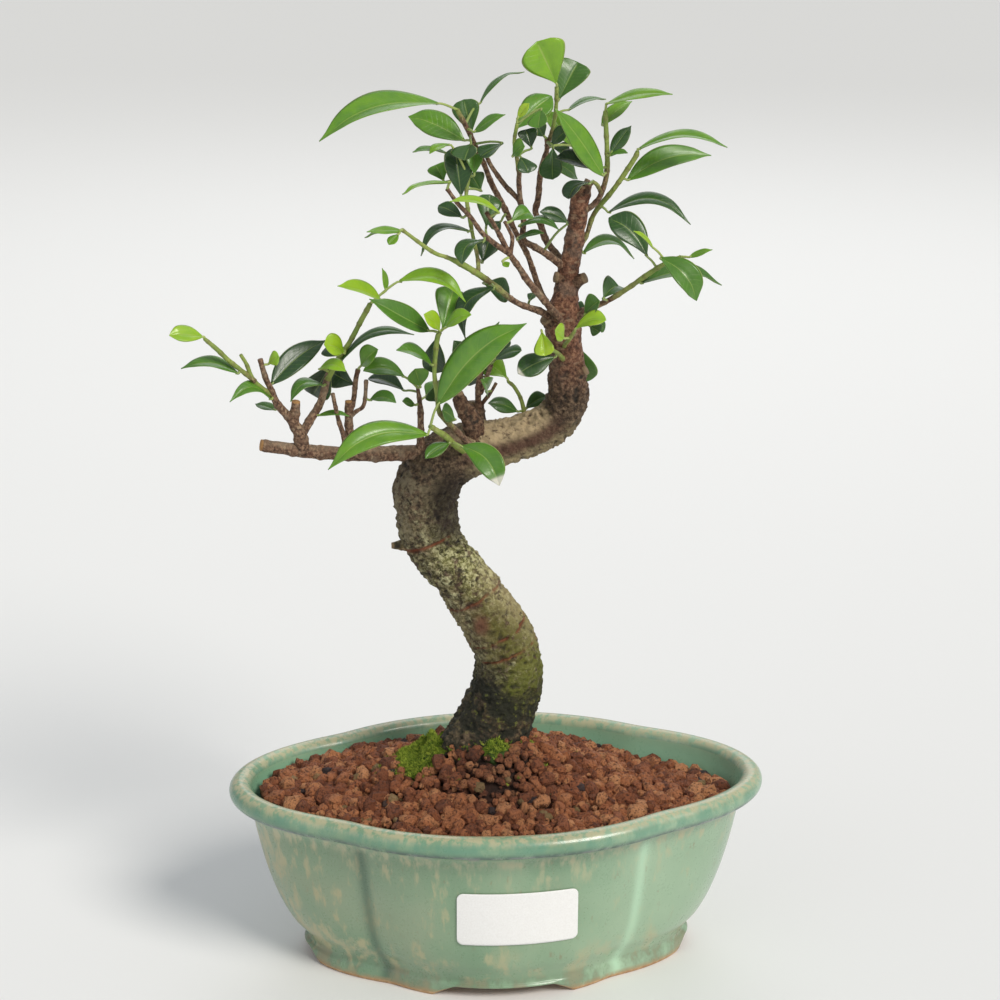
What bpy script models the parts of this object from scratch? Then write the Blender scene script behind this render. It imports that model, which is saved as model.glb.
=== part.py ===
"""A bonsai tree in a glazed quatrefoil pot.

Lengths are metres, +Z is up and -Y is the front.  Places on the tree are given in
millimetres from the middle of the pot at table height, which is how a plant is
measured with a rule.  The finished plant is moved so that the middle of its
bounding box stands over the origin.
"""
import math

import bpy
import bmesh
from mathutils import Vector

MM = 0.001
GAP = 0.3 * MM              # air between neighbouring pieces
TAU = 2 * math.pi

# ---- pot -----------------------------------------------------------------
SIDE_LOBES = (0.1100, 0.0573)     # half width and half depth of the end lobes
FRONT_LOBES = (0.0914, 0.0657)    # the same for the front and back lobes
NOTCH_SHARPNESS = 60
POT_TOP = 0.078
RIM_ROLL = 0.0046
LEAN_ENDS = 0.28                  # share by which the ends draw in more at the foot
LEAN_FRONT = 0.32                 # share by which front and back draw in less there
FLOOR_UNDER = 0.0066
FLOOR_OVER = 0.0125
POT_SIDES = 50
ARCH_HEIGHT = 0.0050
ARCH_FRONT = (0.0285, 0.0200)     # half length at the table and at the top
ARCH_END = (0.0150, 0.0100)
DRAIN_AT = 0.045
DRAIN_RADIUS = 0.0090
SCREEN_SIDE = 0.0250
SCREEN_THICK = 0.0010

# ---- filling ---------------------------------------------------------------
SOIL_SIDES = 40
SOIL_EDGE = 0.0715
SOIL_CROWN = 0.0165               # rise of the mound over its edge
SOIL_MIDDLE = (-0.004, 0.002)
SOIL_HEAP = 0.0140                # further rise against the front of the trunk

# ---- label ------------------------------------------------------------------
LABEL_SIZE = (0.048, 0.0235)
LABEL_MIDDLE = (0.005, 0.0390)
LABEL_THICK = 0.0005

# ---- tree -------------------------------------------------------------------
TRUNK_SIDES = 11
TWIG_SIDES = 5
LEAF_THICK = 0.8             # millimetres, like the stalk
STALK_RADIUS = 0.55
VIEW_SIDE = Vector((-0.06, -0.94, 0.32)).normalized()   # the tree's front

# Trunk from the root to the cut top: x, y, z and radius.
TRUNK = [(-5, 0, 64, 13), (-5, 0, 76, 19), (-4, 0, 87, 20), (-4, 0, 94, 16.5),
         (0, 0, 102, 15), (3, 0, 112, 14), (5, -1, 122, 13.8), (4, -2, 132, 13),
         (0, -3, 142, 12.6), (-5, -4, 151, 11.8), (-11, -4, 161, 11),
         (-18, -4, 170, 10.6), (-24, -3, 178, 11), (-27, -2, 186, 11.8),
         (-28, -1, 195, 12), (-27, 0, 203, 12.6), (-22, 0, 211, 12),
         (-14, 0, 216.5, 10.6), (-4, 0, 219, 9.2), (7, 1, 221, 8.4),
         (18, 2, 225, 8.2), (25, 2, 230.5, 8.2), (28, 1, 238, 8),
         (28, 0, 245, 7.5), (27.5, -1, 252, 7), (26.5, -1, 260, 6.6),
         (26, -1, 267, 6.8), (26, -1, 273, 6.3), (27, 0, 280, 4.9),
         (28, 1, 289, 4), (29.5, 1, 297, 3.6), (31, 1, 307, 3.6),
         (32, 0, 317, 3.7), (33, 0, 323, 3.6)]

# Root flare: three buttresses that run out into the soil.
ROOTS = [[(-6, 0, 96, 9), (-17, -3, 87, 7), (-27, -6, 78, 4)],
         [(-2, 0, 96, 9), (9, -4, 87, 7), (18, -9, 78, 4)],
         [(-3, -2, 96, 9), (-6, -13, 86, 7), (-8, -22, 77, 4)]]

# Dead snags and cut stubs that are one with the trunk.
SNAGS = [[(-8, -3, 221, 5), (-10, -5, 231, 3.8), (-14, -6, 238, 3), (-15, -6, 243, 1.6)],
         [(-6, 5, 219, 5), (-8, 7, 228, 4.2), (-8, 8, 235, 3.4)],
         [(27, 0, 286, 3.2), (22.5, -1, 287, 1.8)],
         [(29, 0, 284, 2.8), (34.5, -2, 287, 2)],
         [(31, 0, 312, 2.4), (35, 0, 314.5, 2)],
         [(28, -4, 247, 3), (35, -6, 251, 1.8)],
         [(26, -1, 265, 3.8), (19, -4, 272, 3)],
         [(-27, -2, 179, 4), (-42, -3, 179, 1.2)],
         [(26, 0, 269, 3.4), (35, -2, 273.5, 1.8)],
         [(32, -1, 319, 2.6), (35.5, -2, 324.5, 1.8)]]

# Every shoot: the piece it grows from, its stems (x, y, z, radius) and its leaves
# (base, tip, width, roll, arch, bow).  Roll turns the blade from facing the front
# towards lying level; arch lifts the midrib off its chord as a share of the length,
# and bow bends it upward in the plane of the blade.
SHOOTS = {
    "left_branch": ("trunk", [
        [(-22, -1, 216, 4), (-33, -4, 218, 3.1), (-45, -8, 219, 3), (-58, -12, 220.5, 2.7),
         (-77, -16, 223.5, 2.6), (-92, -19, 227, 2.2)],
        [(-76, -16, 223, 3), (-77, -17, 231, 2.5), (-79, -17, 235, 2.2), (-78, -18, 244, 1.6)],
    ], []),
    "left_fork_shoot": ("left_branch", [
        [(-78, -17, 232, 1.8), (-81, -19, 238, 1.7), (-85, -22, 244, 1.5),
         (-87, -24, 250, 1.2), (-89, -25, 255, 1.1), (-91, -26, 263, 1)],
    ], [
        ((-87, -25, 247), (-102, -36, 250), 6, 35, .07, .22),
        ((-86, -19, 241), (-94, -10, 241), 5, 45, .03, 0),
        ((-87, -22, 252), (-66, -6, 265), 10, 10, .03, .05),
        ((-88, -26, 261), (-84, -30, 265), 6, 20, .05, .04),
    ]),
    "far_left_shoot": ("left_fork_shoot", [
        [(-86, -23, 247, 1), (-91, -26, 252, 1), (-94, -28, 256, .9), (-96, -29, 262, .8),
         (-98, -30, 266, .7)],
        [(-93, -28, 255, .9), (-102, -32, 264, .9), (-107, -35, 270, .9), (-111, -36, 274, .7)],
    ], [
        ((-111, -37, 275), (-123, -44, 278), 8, 30, .03, .02),
        ((-99, -31, 259), (-120, -36, 263), 7.5, 48, .03, .12),
    ]),
    "inner_fork_shoot": ("left_branch", [
        [(-78, -17, 227, 1.8), (-73, -14, 235, 1.7), (-69, -12, 241, 1.5), (-66, -10, 250, 1.3),
         (-65, -10, 253, 1.2)],
    ], [
        ((-64, -6, 256), (-72, -2, 241), 12.5, -8, .04, 0),
        ((-67, -14, 249), (-80, -24, 246), 7, 42, .06, .2),
        ((-69, -16, 256), (-59, -22, 257), 6, 35, .06, .15),
        ((-70, -14, 237), (-58, -20, 239), 4, 55, .03, .02),
    ]),
    "tall_left_shoot": ("inner_fork_shoot", [
        [(-66, -10, 250, 1.2), (-62, -12, 258, 1.1), (-57, -14, 266, 1), (-53, -16, 274, 1),
         (-50, -18, 280, 1), (-49, -18, 282, .9)],
    ], [
        ((-59, -16, 262), (-66, -24, 268), 9.5, 28, .05, .04),
        ((-59, -10, 259), (-66, -4, 262), 9.5, 20, .03, 0),
        ((-61, -14, 258), (-33, -20, 271), 8, 58, .03, .16),
        ((-45, -21, 284), (-61, -34, 293), 8, 45, .05, .02),
        ((-38, -20, 291), (-13, -26, 285), 8, 35, .06, .16),
        ((-43, -19, 287), (-44, -20, 296), 3, 40, .01, .02),
    ]),
    "cut_stub_shoot": ("left_branch", [
        [(-59, -12, 221, 1.8), (-58, -12, 228, 1.8), (-58, -12, 236, 1.7), (-58, -12, 242, 1.3)],
        [(-58, -12, 236, 1.2), (-56, -11, 242, 1), (-55, -10, 250, 1), (-54, -10, 254, .9)],
        [(-58, -12, 235, 1), (-55, -13, 238, .8), (-52, -14, 241, .8), (-51, -15, 251, .8)],
    ], [
        ((-53, -13, 256), (-47, -22, 265), 8.5, 25, .03, .02),
        ((-55, -8, 247), (-65, -2, 251), 11, -20, .03, 0),
        ((-50, -15, 243), (-40, -21, 244), 6, 35, .05, .11),
    ]),
    "dead_twig": ("left_branch", [
        [(-60, -12, 220, 1.2), (-60, -15, 228, 1), (-62, -17, 236, .9), (-64, -19, 247, .8)],
    ], []),
    "upright_shoot": ("trunk", [
        [(-29, -3, 208, 2), (-30, -5, 222, 1.6), (-30, -5, 230, 1.3), (-30, -5, 236, 1.2),
         (-31, -6, 245, .7)],
    ], [
        ((-36, -8, 250), (-52, -12, 254), 9, 38, .04, .12),
        ((-36, -3, 243), (-50, 4, 247), 10, 45, .03, .05),
        ((-30, -9, 246), (-32, -11, 254), 9.5, 10, .03, 0),
        ((-32, -6, 238), (-37, -10, 241), 4, 30, .03, 0),
        ((-28, -2, 240), (-24, 4, 245), 7, 50, .03, 0),
    ]),
    "middle_shoot": ("trunk", [
        [(-8, -5, 218, 1.6), (-14, -14, 227, 1.2), (-17, -17, 231, 1.1), (-23, -21, 239, 1),
         (-24, -22, 246, 1), (-25, -23, 254, .9), (-25, -23, 259, .9), (-24, -24, 269, 1),
         (-23, -24, 272, .9)],
    ], [
        ((-22, -22, 272), (-17, -12, 286), 13.5, -6, .04, 0),
        ((-23, -26, 273), (-29, -32, 281), 7, 30, .05, .05),
        ((-21, -26, 274), (-12, -32, 281), 7, 38, .05, .06),
        ((-27, -26, 273), (-49, -34, 288), 9.5, 28, .03, -.02),
        ((-24, -20, 269), (-25, -15, 253), 10, 8, .03, 0),
        ((-26, -24, 259), (-39, -32, 268), 8.5, 55, .04, .06),
        ((-23, -18, 251), (-25, -12, 241), 8, -10, .03, 0),
        ((-17, -20, 236), (-22, -27, 242), 8, 35, .05, 0),
    ]),
    "front_shoot": ("trunk", [
        [(-10, -3, 216, 1.6), (-16, -14, 223, 1.2), (-21, -22, 230, 1.2), (-27, -28, 236, 1)],
    ], [
        ((-24, -29, 245), (8, -34, 278), 15.5, 24, .03, .07),
        ((-28, -29, 233), (-66, -44, 226), 12, 30, .04, .12),
        ((-15, -22, 226), (-1, -34, 214), 11.5, 12, .05, .14),
        ((-19, -20, 227), (-29, -27, 223), 7, 35, .03, .02),
    ]),
    "snag_shoot": ("trunk", [
        [(-6, 4, 216, 1.6), (-7, 4, 237, 1.3), (-6, 5, 248, 1.2)],
        [(-6, 5, 234, .9), (-4, 4, 237, .8), (-2, 3, 240, .7), (0, 2, 244, .6)],
        [(-6, 5, 239, 1), (-4, 3, 245, .9), (-2, 1, 252, .9)],
    ], [
        ((-1, 0, 254), (9, -6, 260), 8, 55, .03, .03),
        ((-1, 2, 253), (5, 8, 261), 7, 30, .03, 0),
        ((-5, 8, 243), (-10, 14, 242), 5.5, 20, .03, 0),
        ((-4, 0, 241), (-6, -14, 250), 8, 60, .07, 0),
        ((-5, 7, 244), (-16, 12, 259), 10, 12, .03, 0),
        ((-3, 8, 245), (1, 14, 266), 8.5, 45, .05, .07),
    ]),
    "bend_shoot": ("trunk", [
        [(12, 3, 221, 1.2), (11, 7, 233, .9), (8, 8, 240, .8), (5, 8, 243, .7)],
    ], [
        ((5, 8, 244), (-4, 12, 250), 11, 15, .05, .04),
        ((9, 6, 231), (-3, 2, 236), 7, 25, .03, .06),
        ((12, 9, 231), (21, 14, 235), 7, 15, .03, .06),
    ]),
    "neck_left_shoot": ("trunk", [
        [(27, -3, 253, 1), (23, -14, 260, .8), (19, -18, 263, .8)],
    ], [
        ((22, -15, 259), (7, -20, 254), 10, 18, .03, .04),
        ((16, -20, 271), (17, -24, 262), 8, -10, -.05, 0),
    ]),
    "neck_right_shoot": ("trunk", [
        [(26, -3, 259, .9), (26, -11, 263, .8), (27, -16, 266, .8), (29, -18, 270, .7)],
    ], [
        ((25, -18, 267), (21, -24, 272), 8, 30, .05, 0),
        ((29, -19, 271), (40, -24, 276), 8, 38, .05, .08),
    ]),
    "neck_back_shoot": ("trunk", [
        [(28, 1, 257, .9), (33, 9, 257, .8), (34, 11, 256, .7)],
    ], [
        ((34, 12, 255), (37, 15, 240), 10, 10, .03, 0),
    ]),
    "right_branch": ("trunk", [
        [(27, -1, 268, 1.8), (34, -5, 274, 1.4), (38, -8, 277, 1.2), (43, -10, 280, 1.1),
         (49, -14, 285, 1), (57, -18, 292, 1), (63, -22, 297, .9), (68, -25, 300, .7)],
    ], [
        ((60, -26, 300), (74, -32, 285), 11, 20, .15, .06),
        ((54, -17, 288), (87, -8, 286), 9, 48, .03, .1),
        ((71, -26, 300), (79, -30, 304), 3, 30, .03, 0),
        ((56, -20, 299), (42, -13, 313), 12.5, 15, .03, .1),
        ((58, -23, 303), (50, -28, 311), 3, 50, .03, .04),
        ((33, -13, 275), (38, -19, 282), 8.5, 25, .04, .02),
        ((40, -13, 281), (47, -6, 285), 10, 15, .05, .06),
    ]),
    "right_bud": ("trunk", [
        [(27, 1, 268, 1), (34, 7, 269, .8), (37, 9, 268, .7)],
    ], [
        ((37, 9, 265), (41, 6, 263), 6, 20, .03, 0),
        ((39, 12, 266), (44, 14, 262), 5.5, 30, .03, .04),
        ((36, 12, 270), (32, 16, 271), 6, 15, .03, .04),
    ]),
    "upper_right_branch": ("trunk", [
        [(29, 1, 294, 1.3), (35, 4, 302, 1), (38, 3, 311, 1), (45, -3, 322, 1),
         (52, -7, 334, 1), (53, -8, 337, .8)],
    ], [
        ((34, 5, 295), (55, 12, 291), 7, 50, .03, .25),
        ((43, 0, 312), (74, -8, 310), 8, 45, .03, .2),
        ((53, -9, 338), (86, -16, 340), 8, 55, .03, .12),
        ((50, -3, 325), (83, 4, 333), 10.5, 22, .02, .1),
    ]),
    "top_right_shoot": ("trunk", [
        [(32, 0, 312, 1.6), (37, -1, 315, 1.2), (40, -3, 320, 1), (42, -4, 330, 1),
         (41, -5, 349, .9), (41, -5, 352, .8)],
    ], [
        ((41, -7, 355), (65, -14, 360), 8, 52, .03, .04),
        ((40, -2, 346), (52, 4, 354), 6.5, 30, .03, .04),
        ((43, -6, 336), (51, -2, 346), 6, 20, .03, 0),
        ((42, -6, 335), (49, -10, 337), 4, 55, .03, .06),
        ((40, -9, 328), (21, -16, 355), 11, 28, .04, 0),
        ((38, -8, 330), (22, -12, 336), 9.5, 38, .03, .03),
    ]),
    "cut_top_shoot": ("top_right_shoot", [
        [(40, -3, 320, .9), (38, -7, 324, .8), (36, -9, 326, .7)],
    ], [
        ((35, -12, 326), (26, -16, 321), 8.5, 40, .04, .16),
    ]),
    "crown_branch_back": ("trunk", [
        [(28, 1, 290, 1.6), (24, 7, 294, 1.4), (20, 10, 299, 1.3), (18, 12, 305, 1.3),
         (16, 13, 310, 1.2), (17, 13, 315, 1.2), (18, 11, 327, 1.1), (20, 10, 334, 1),
         (20, 9, 339, .9)],
    ], [
        ((22, 4, 337), (21, -4, 326), 10, 20, .03, 0),
        ((21, 6, 337), (27, 1, 344), 7, 25, .03, 0),
        ((19, 7, 340), (16, 4, 345), 6, 10, .03, 0),
        ((22, 14, 335), (30, 18, 332), 7, 20, .03, 0),
        ((21, 15, 330), (34, 22, 321), 8, 30, .03, .02),
    ]),
    "leader_shoot": ("crown_branch_back", [
        [(20, 10, 336, .9), (22, 7, 343, .8), (23, 4, 352, .8), (23, 2, 360, .8)],
    ], [
        ((23, 0, 361), (15, -4, 378), 19.5, 4, .01, 0),
        ((24, 6, 354), (32, 12, 368), 14.5, 14, .03, 0),
        ((32, 18, 334), (19, 22, 348), 8, 20, .03, .02),
        ((28, 9, 350), (43, 14, 354), 6, 62, .03, .06),
    ]),
    "crown_branch_front": ("trunk", [
        [(28, 1, 289, 1.7), (20, -3, 296, 1.4), (14, -4, 300, 1.3), (10, -5, 303, 1.2),
         (10, -6, 310, 1.1), (9, -6, 317, 1.1), (6, -6, 321, 1), (3, -5, 324, 1),
         (-2, -4, 331, .9), (-4, -4, 335, .8)],
    ], [
        ((8, -9, 309), (23, -16, 309), 6, 48, .03, .2),
        ((27, -9, 310), (16, -11, 315), 6.5, 25, .03, .08),
        ((7, -10, 304), (17, -16, 308), 5, 55, .03, .05),
    ]),
    "crown_front_shoot": ("crown_branch_front", [
        [(9, -6, 316, 1), (8, -9, 326, 1), (8, -10, 330, 1), (7, -11, 336, .8),
         (6, -12, 342, .7), (7, -13, 349, .7)],
    ], [
        ((7, -8, 346), (21, 0, 357), 11.5, 14, .03, .03),
        ((7, -14, 351), (11, -16, 357), 4, 20, .01, .01),
        ((16, -16, 355), (14, -22, 349), 8.5, 30, .05, 0),
        ((13, -6, 338), (11, -3, 345), 8.5, 10, .03, 0),
        ((5, -16, 337), (9, -21, 342), 8, 35, .05, .04),
        ((8, -14, 337), (11, -20, 332), 8.5, 25, .03, 0),
    ]),
    "crown_branch_left": ("trunk", [
        [(26, 0, 266, 1.8), (19, 5, 277, 1.2), (16, 7, 284, 1.2), (13, 8, 293, 1.1),
         (10, 8, 299, 1.1), (7, 7, 305, 1.1), (4, 5, 312, 1.2), (1, 3, 318, 1.1),
         (-2, 2, 324, 1.1), (-5, 1, 332, 1), (-8, 0, 337, 1)],
    ], [
        ((2, 1, 309), (-2, -3, 307), 6, 20, .03, 0),
    ]),
    "crown_left_shoot": ("crown_branch_left", [
        [(-6, 1, 334, 1), (-10, -2, 343, 1), (-12, -3, 347, 1), (-15, -5, 353, .9)],
    ], [
        ((-22, -8, 356), (-67, -22, 346), 13, 42, .03, .09),
        ((-12, 2, 340), (-33, 8, 349), 11.5, 18, .03, .03),
        ((-9, 3, 342), (-12, 6, 355), 11, -8, .03, 0),
        ((-9, -8, 345), (2, -14, 353), 6, 40, .03, .02),
        ((-6, 8, 353), (11, 16, 365), 5.5, 64, .03, .1),
        ((-10, -9, 341), (-13, -16, 336), 11.5, 30, .04, 0),
        ((2, -9, 341), (-7, -14, 337), 8.5, 40, .05, -.04),
    ]),
    "forked_branch": ("trunk", [
        [(27, -1, 264, 1.8), (24, -8, 272, 1.4), (18, -11, 280, 1.3), (11, -14, 289, 1.3),
         (8, -15, 294, 1.2), (4, -17, 300, 1.1), (2, -18, 304, 1), (-1, -19, 310, .9),
         (-5, -20, 317, .8)],
        [(4, -17, 299, .9), (5, -18, 306, .8), (4, -18, 309, .7), (2, -19, 313, .7)],
    ], [
        ((0, -21, 317), (-19, -32, 324), 5, 45, .03, .08),
        ((4, -19, 313), (12, -14, 316), 8.5, 22, .03, .02),
        ((1, -20, 298), (3, -24, 297), 3, 20, 0, 0),
    ]),
    "forked_left_shoot": ("forked_branch", [
        [(4, -17, 300, 1), (-3, -21, 306, 1), (-7, -23, 310, .9), (-11, -25, 316, .9),
         (-16, -28, 322, .8), (-20, -30, 328, .8)],
    ], [
        ((-19, -32, 331), (-37, -42, 330), 5, 66, .03, .03),
        ((-14, -25, 316), (-23, -20, 320), 7, 25, .03, .02),
        ((-6, -24, 307), (-15, -34, 301), 8, 38, .04, .2),
        ((-5, -17, 310), (-3, -11, 322), 10, -12, .03, 0),
    ]),
    "low_crown_branch": ("trunk", [
        [(26, -1, 268, 1.8), (17, -8, 275, 1.4), (7, -12, 280, 1.2), (-2, -16, 288, 1.1),
         (-8, -19, 293, 1.2), (-15, -22, 298, 1.2), (-20, -25, 301, .8), (-26, -27, 304, .8),
         (-37, -30, 313, .7)],
    ], [
        ((-37, -31, 313), (-50, -37, 314), 4.5, 40, .03, 0),
        ((-38, -30, 312), (-51, -22, 309), 4, 55, .03, .04),
        ((-38, -32, 312), (-42, -36, 309), 4, 20, 0, 0),
        ((-6, -13, 288), (5, -5, 282), 10, 14, .03, 0),
        ((12, -8, 279), (14, -4, 282), 4, 20, 0, 0),
        ((-2, -20, 288), (-14, -26, 270), 9, 38, .05, .24),
    ]),
    "low_crown_shoot": ("low_crown_branch", [
        [(-8, -19, 293, .9), (-8, -15, 298, .8), (-10, -13, 308, .8), (-12, -11, 321, .8),
         (-11, -9, 328, .8)],
    ], [
        ((-11, -16, 309), (-30, -24, 302), 6.5, 52, .03, .24),
        ((-14, -12, 321), (-16, -6, 339), 12, 14, .03, 0),
        ((-20, -2, 325), (-23, 2, 331), 8.5, 10, .03, 0),
        ((-9, -11, 329), (-9, -8, 337), 7, 10, .03, 0),
        ((-6, -6, 322), (-10, 0, 328), 9.5, 8, .03, 0),
        ((-19, -6, 337), (-32, -12, 339), 5, 58, .03, .06),
        ((-18, -10, 341), (-26, -15, 339), 5, 50, .03, .06),
        ((-6, -10, 295), (-3, -4, 303), 9.5, 5, .03, 0),
    ]),
}

# Blade half width along the leaf, from the stalk to the tip.
BLADE = [(0, .05), (.16, .48), (.50, 1), (.80, .78), (1, .10)]

# Moss cushions on the soil: middle x and y, half width and half depth, height.
MOSS = {"moss_left": (-28, -1, 16, 13, 6), "moss_front": (-2, -17, 5, 3.5, 3)}

# Colour, roughness and metallic value of each material.
LOOKS = {"glaze": ((.20, .33, .27), .28, 0), "lava_soil": ((.20, .09, .06), .9, 0),
         "bark": ((.16, .11, .08), .85, 0), "green_shoot": ((.25, .35, .08), .5, 0),
         "leaf": ((.05, .14, .04), .3, 0), "moss": ((.16, .30, .04), .9, 0),
         "paper": ((.85, .85, .83), .6, 0), "screen_plastic": ((.03, .03, .03), .5, 0)}


def clear_scene():
    for old in list(bpy.data.objects):
        bpy.data.objects.remove(old, do_unlink=True)


def material(name):
    found = bpy.data.materials.get(name)
    if found:
        return found
    colour, rough, metal = LOOKS[name]
    made = bpy.data.materials.new(name)
    made.use_nodes = True
    shader = made.node_tree.nodes["Principled BSDF"]
    shader.inputs["Base Color"].default_value = (*colour, 1)
    shader.inputs["Roughness"].default_value = rough
    shader.inputs["Metallic"].default_value = metal
    return made


def put(name, verts, faces, look=None, smooth=True):
    """A new object with outward faces from a list of points and faces."""
    mesh = bpy.data.meshes.new(name)
    mesh.from_pydata([tuple(v) for v in verts], [], faces)
    work = bmesh.new()
    work.from_mesh(mesh)
    bmesh.ops.recalc_face_normals(work, faces=work.faces)
    work.to_mesh(mesh)
    work.free()
    mesh.validate()
    thing = bpy.data.objects.new(name, mesh)
    bpy.context.collection.objects.link(thing)
    if look:
        mesh.materials.append(material(look))
    for polygon in mesh.polygons:
        polygon.use_smooth = smooth
    return thing


def skin(rings, close_first="cap", close_last="cap"):
    """Points and faces of a closed skin over rings that all have as many points."""
    verts, faces = [], []
    count = len(rings[0])
    for ring in rings:
        verts.extend(ring)
    for i in range(len(rings) - 1):
        for j in range(count):
            k = (j + 1) % count
            faces.append((i * count + j, i * count + k, (i + 1) * count + k, (i + 1) * count + j))
    for style, start in ((close_first, 0), (close_last, (len(rings) - 1) * count)):
        loop = [start + j for j in range(count)]
        if style == "fan":
            middle = sum((Vector(verts[i]) for i in loop), Vector()) / count
            verts.append(middle)
            faces.extend((loop[j], loop[(j + 1) % count], len(verts) - 1) for j in range(count))
        else:
            faces.append(tuple(loop))
    return verts, faces


# ---- pot, screens, soil, moss and label ---------------------------------------

def drawn_in(inset, z):
    """The inset along x and along y: alike at the rim, more at the ends lower down."""
    t = max(0, min(1, (0.066 - z) / 0.054))
    lean = t * t * (3 - 2 * t)
    return inset * (1 + LEAN_ENDS * lean), inset * (1 - LEAN_FRONT * lean)


def lobed(angle, inset, z=POT_TOP):
    """Distance from the pot's axis to its outline, drawn in by the inset."""
    c, s = math.cos(angle), math.sin(angle)
    in_x, in_y = drawn_in(inset, z)
    side = 1 / math.hypot(c / (SIDE_LOBES[0] - in_x), s / (SIDE_LOBES[1] - in_y))
    front = 1 / math.hypot(c / (FRONT_LOBES[0] - in_x), s / (FRONT_LOBES[1] - in_y))
    ratio = min(side, front) / max(side, front)
    return max(side, front) * (1 + ratio ** NOTCH_SHARPNESS) ** (1 / NOTCH_SHARPNESS)


def outline(inset, z, sides=POT_SIDES):
    ring = []
    for i in range(sides):
        angle = TAU * i / sides
        r = lobed(angle, inset, z)
        ring.append(Vector((r * math.cos(angle), r * math.sin(angle), z)))
    return ring


def pot_section():
    """(inset, height) from the middle of the underside round to the middle of the floor."""
    roll_z = POT_TOP - RIM_ROLL
    section = [(0.0480, FLOOR_UNDER), (0.0365, FLOOR_UNDER), (0.0345, 0.0),
               (0.0232, 0.0), (0.0226, 0.0012), (0.0236, 0.0058), (0.0245, 0.0074),
               (0.0226, 0.0112), (0.0188, 0.0174), (0.0155, 0.0265), (0.0130, 0.0380),
               (0.0112, 0.0510), (0.0098, 0.0610), (0.0084, 0.0662)]
    for step in range(8):
        turn = math.radians(-62 + step * 32)
        section.append((RIM_ROLL - RIM_ROLL * math.cos(turn), roll_z + RIM_ROLL * math.sin(turn)))
    section += [(0.0098, 0.0725), (0.0112, 0.0680), (0.0128, 0.0640), (0.0150, 0.0560),
                (0.0180, 0.0370), (0.0225, 0.0235), (0.0290, 0.0160), (0.0370, FLOOR_OVER),
                (0.0480, FLOOR_OVER)]
    return section


def cutter(name, verts, faces):
    tool = put(name, verts, faces, smooth=False)
    tool.hide_render = True
    tool.display_type = "WIRE"
    return tool


def arch_cutter(name, along_x, low, high):
    """A bar with sloping sides that clears the foot ring on two opposite sides."""
    reach = 0.14
    section = [(-low, -0.002), (low, -0.002), (high, ARCH_HEIGHT), (-high, ARCH_HEIGHT)]
    rings = []
    for end in (-reach, reach):
        rings.append([Vector((end, s, z)) if along_x else Vector((s, end, z))
                      for s, z in section])
    return cutter(name, *skin(rings))


def round_cutter(name, x, radius):
    rings = [[Vector((x + radius * math.cos(TAU * i / 24), radius * math.sin(TAU * i / 24), z))
              for i in range(24)] for z in (-0.001, FLOOR_OVER + 0.004)]
    return cutter(name, *skin(rings))


def settle(thing, operation, tools):
    """Applies one exact Boolean with every tool and removes the tools."""
    group = bpy.data.collections.new(thing.name + "_tools")
    for tool in tools:
        group.objects.link(tool)
    change = thing.modifiers.new("shape", "BOOLEAN")
    change.operation = operation
    change.solver = "EXACT"
    change.operand_type = "COLLECTION"
    change.collection = group
    bpy.context.view_layer.update()
    graph = bpy.context.evaluated_depsgraph_get()
    done = bpy.data.meshes.new_from_object(thing.evaluated_get(graph))
    thing.modifiers.clear()
    thing.data = done
    for tool in tools:
        bpy.data.objects.remove(tool, do_unlink=True)
    bpy.data.collections.remove(group)
    return thing


def keep_main_body(thing):
    """Leaves only the body with the most faces."""
    work = bmesh.new()
    work.from_mesh(thing.data)
    seen, bodies = set(), []
    for start in work.faces:
        if start in seen:
            continue
        body, queue = [], [start]
        seen.add(start)
        while queue:
            face = queue.pop()
            body.append(face)
            for edge in face.edges:
                for other in edge.link_faces:
                    if len(edge.link_faces) == 2 and other not in seen:
                        seen.add(other)
                        queue.append(other)
        bodies.append(body)
    bodies.sort(key=len, reverse=True)
    for body in bodies[1:]:
        bmesh.ops.delete(work, geom=body, context="FACES")
    work.to_mesh(thing.data)
    work.free()
    return thing


def make_pot():
    rings = [outline(inset, z) for inset, z in pot_section()]
    pot = put("pot", *skin(rings, "fan", "fan"), look="glaze")
    tools = [arch_cutter("arch_front_back", False, *ARCH_FRONT),
             arch_cutter("arch_ends", True, *ARCH_END),
             round_cutter("drain_left", -DRAIN_AT, DRAIN_RADIUS),
             round_cutter("drain_right", DRAIN_AT, DRAIN_RADIUS)]
    return settle(pot, "DIFFERENCE", tools)


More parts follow.
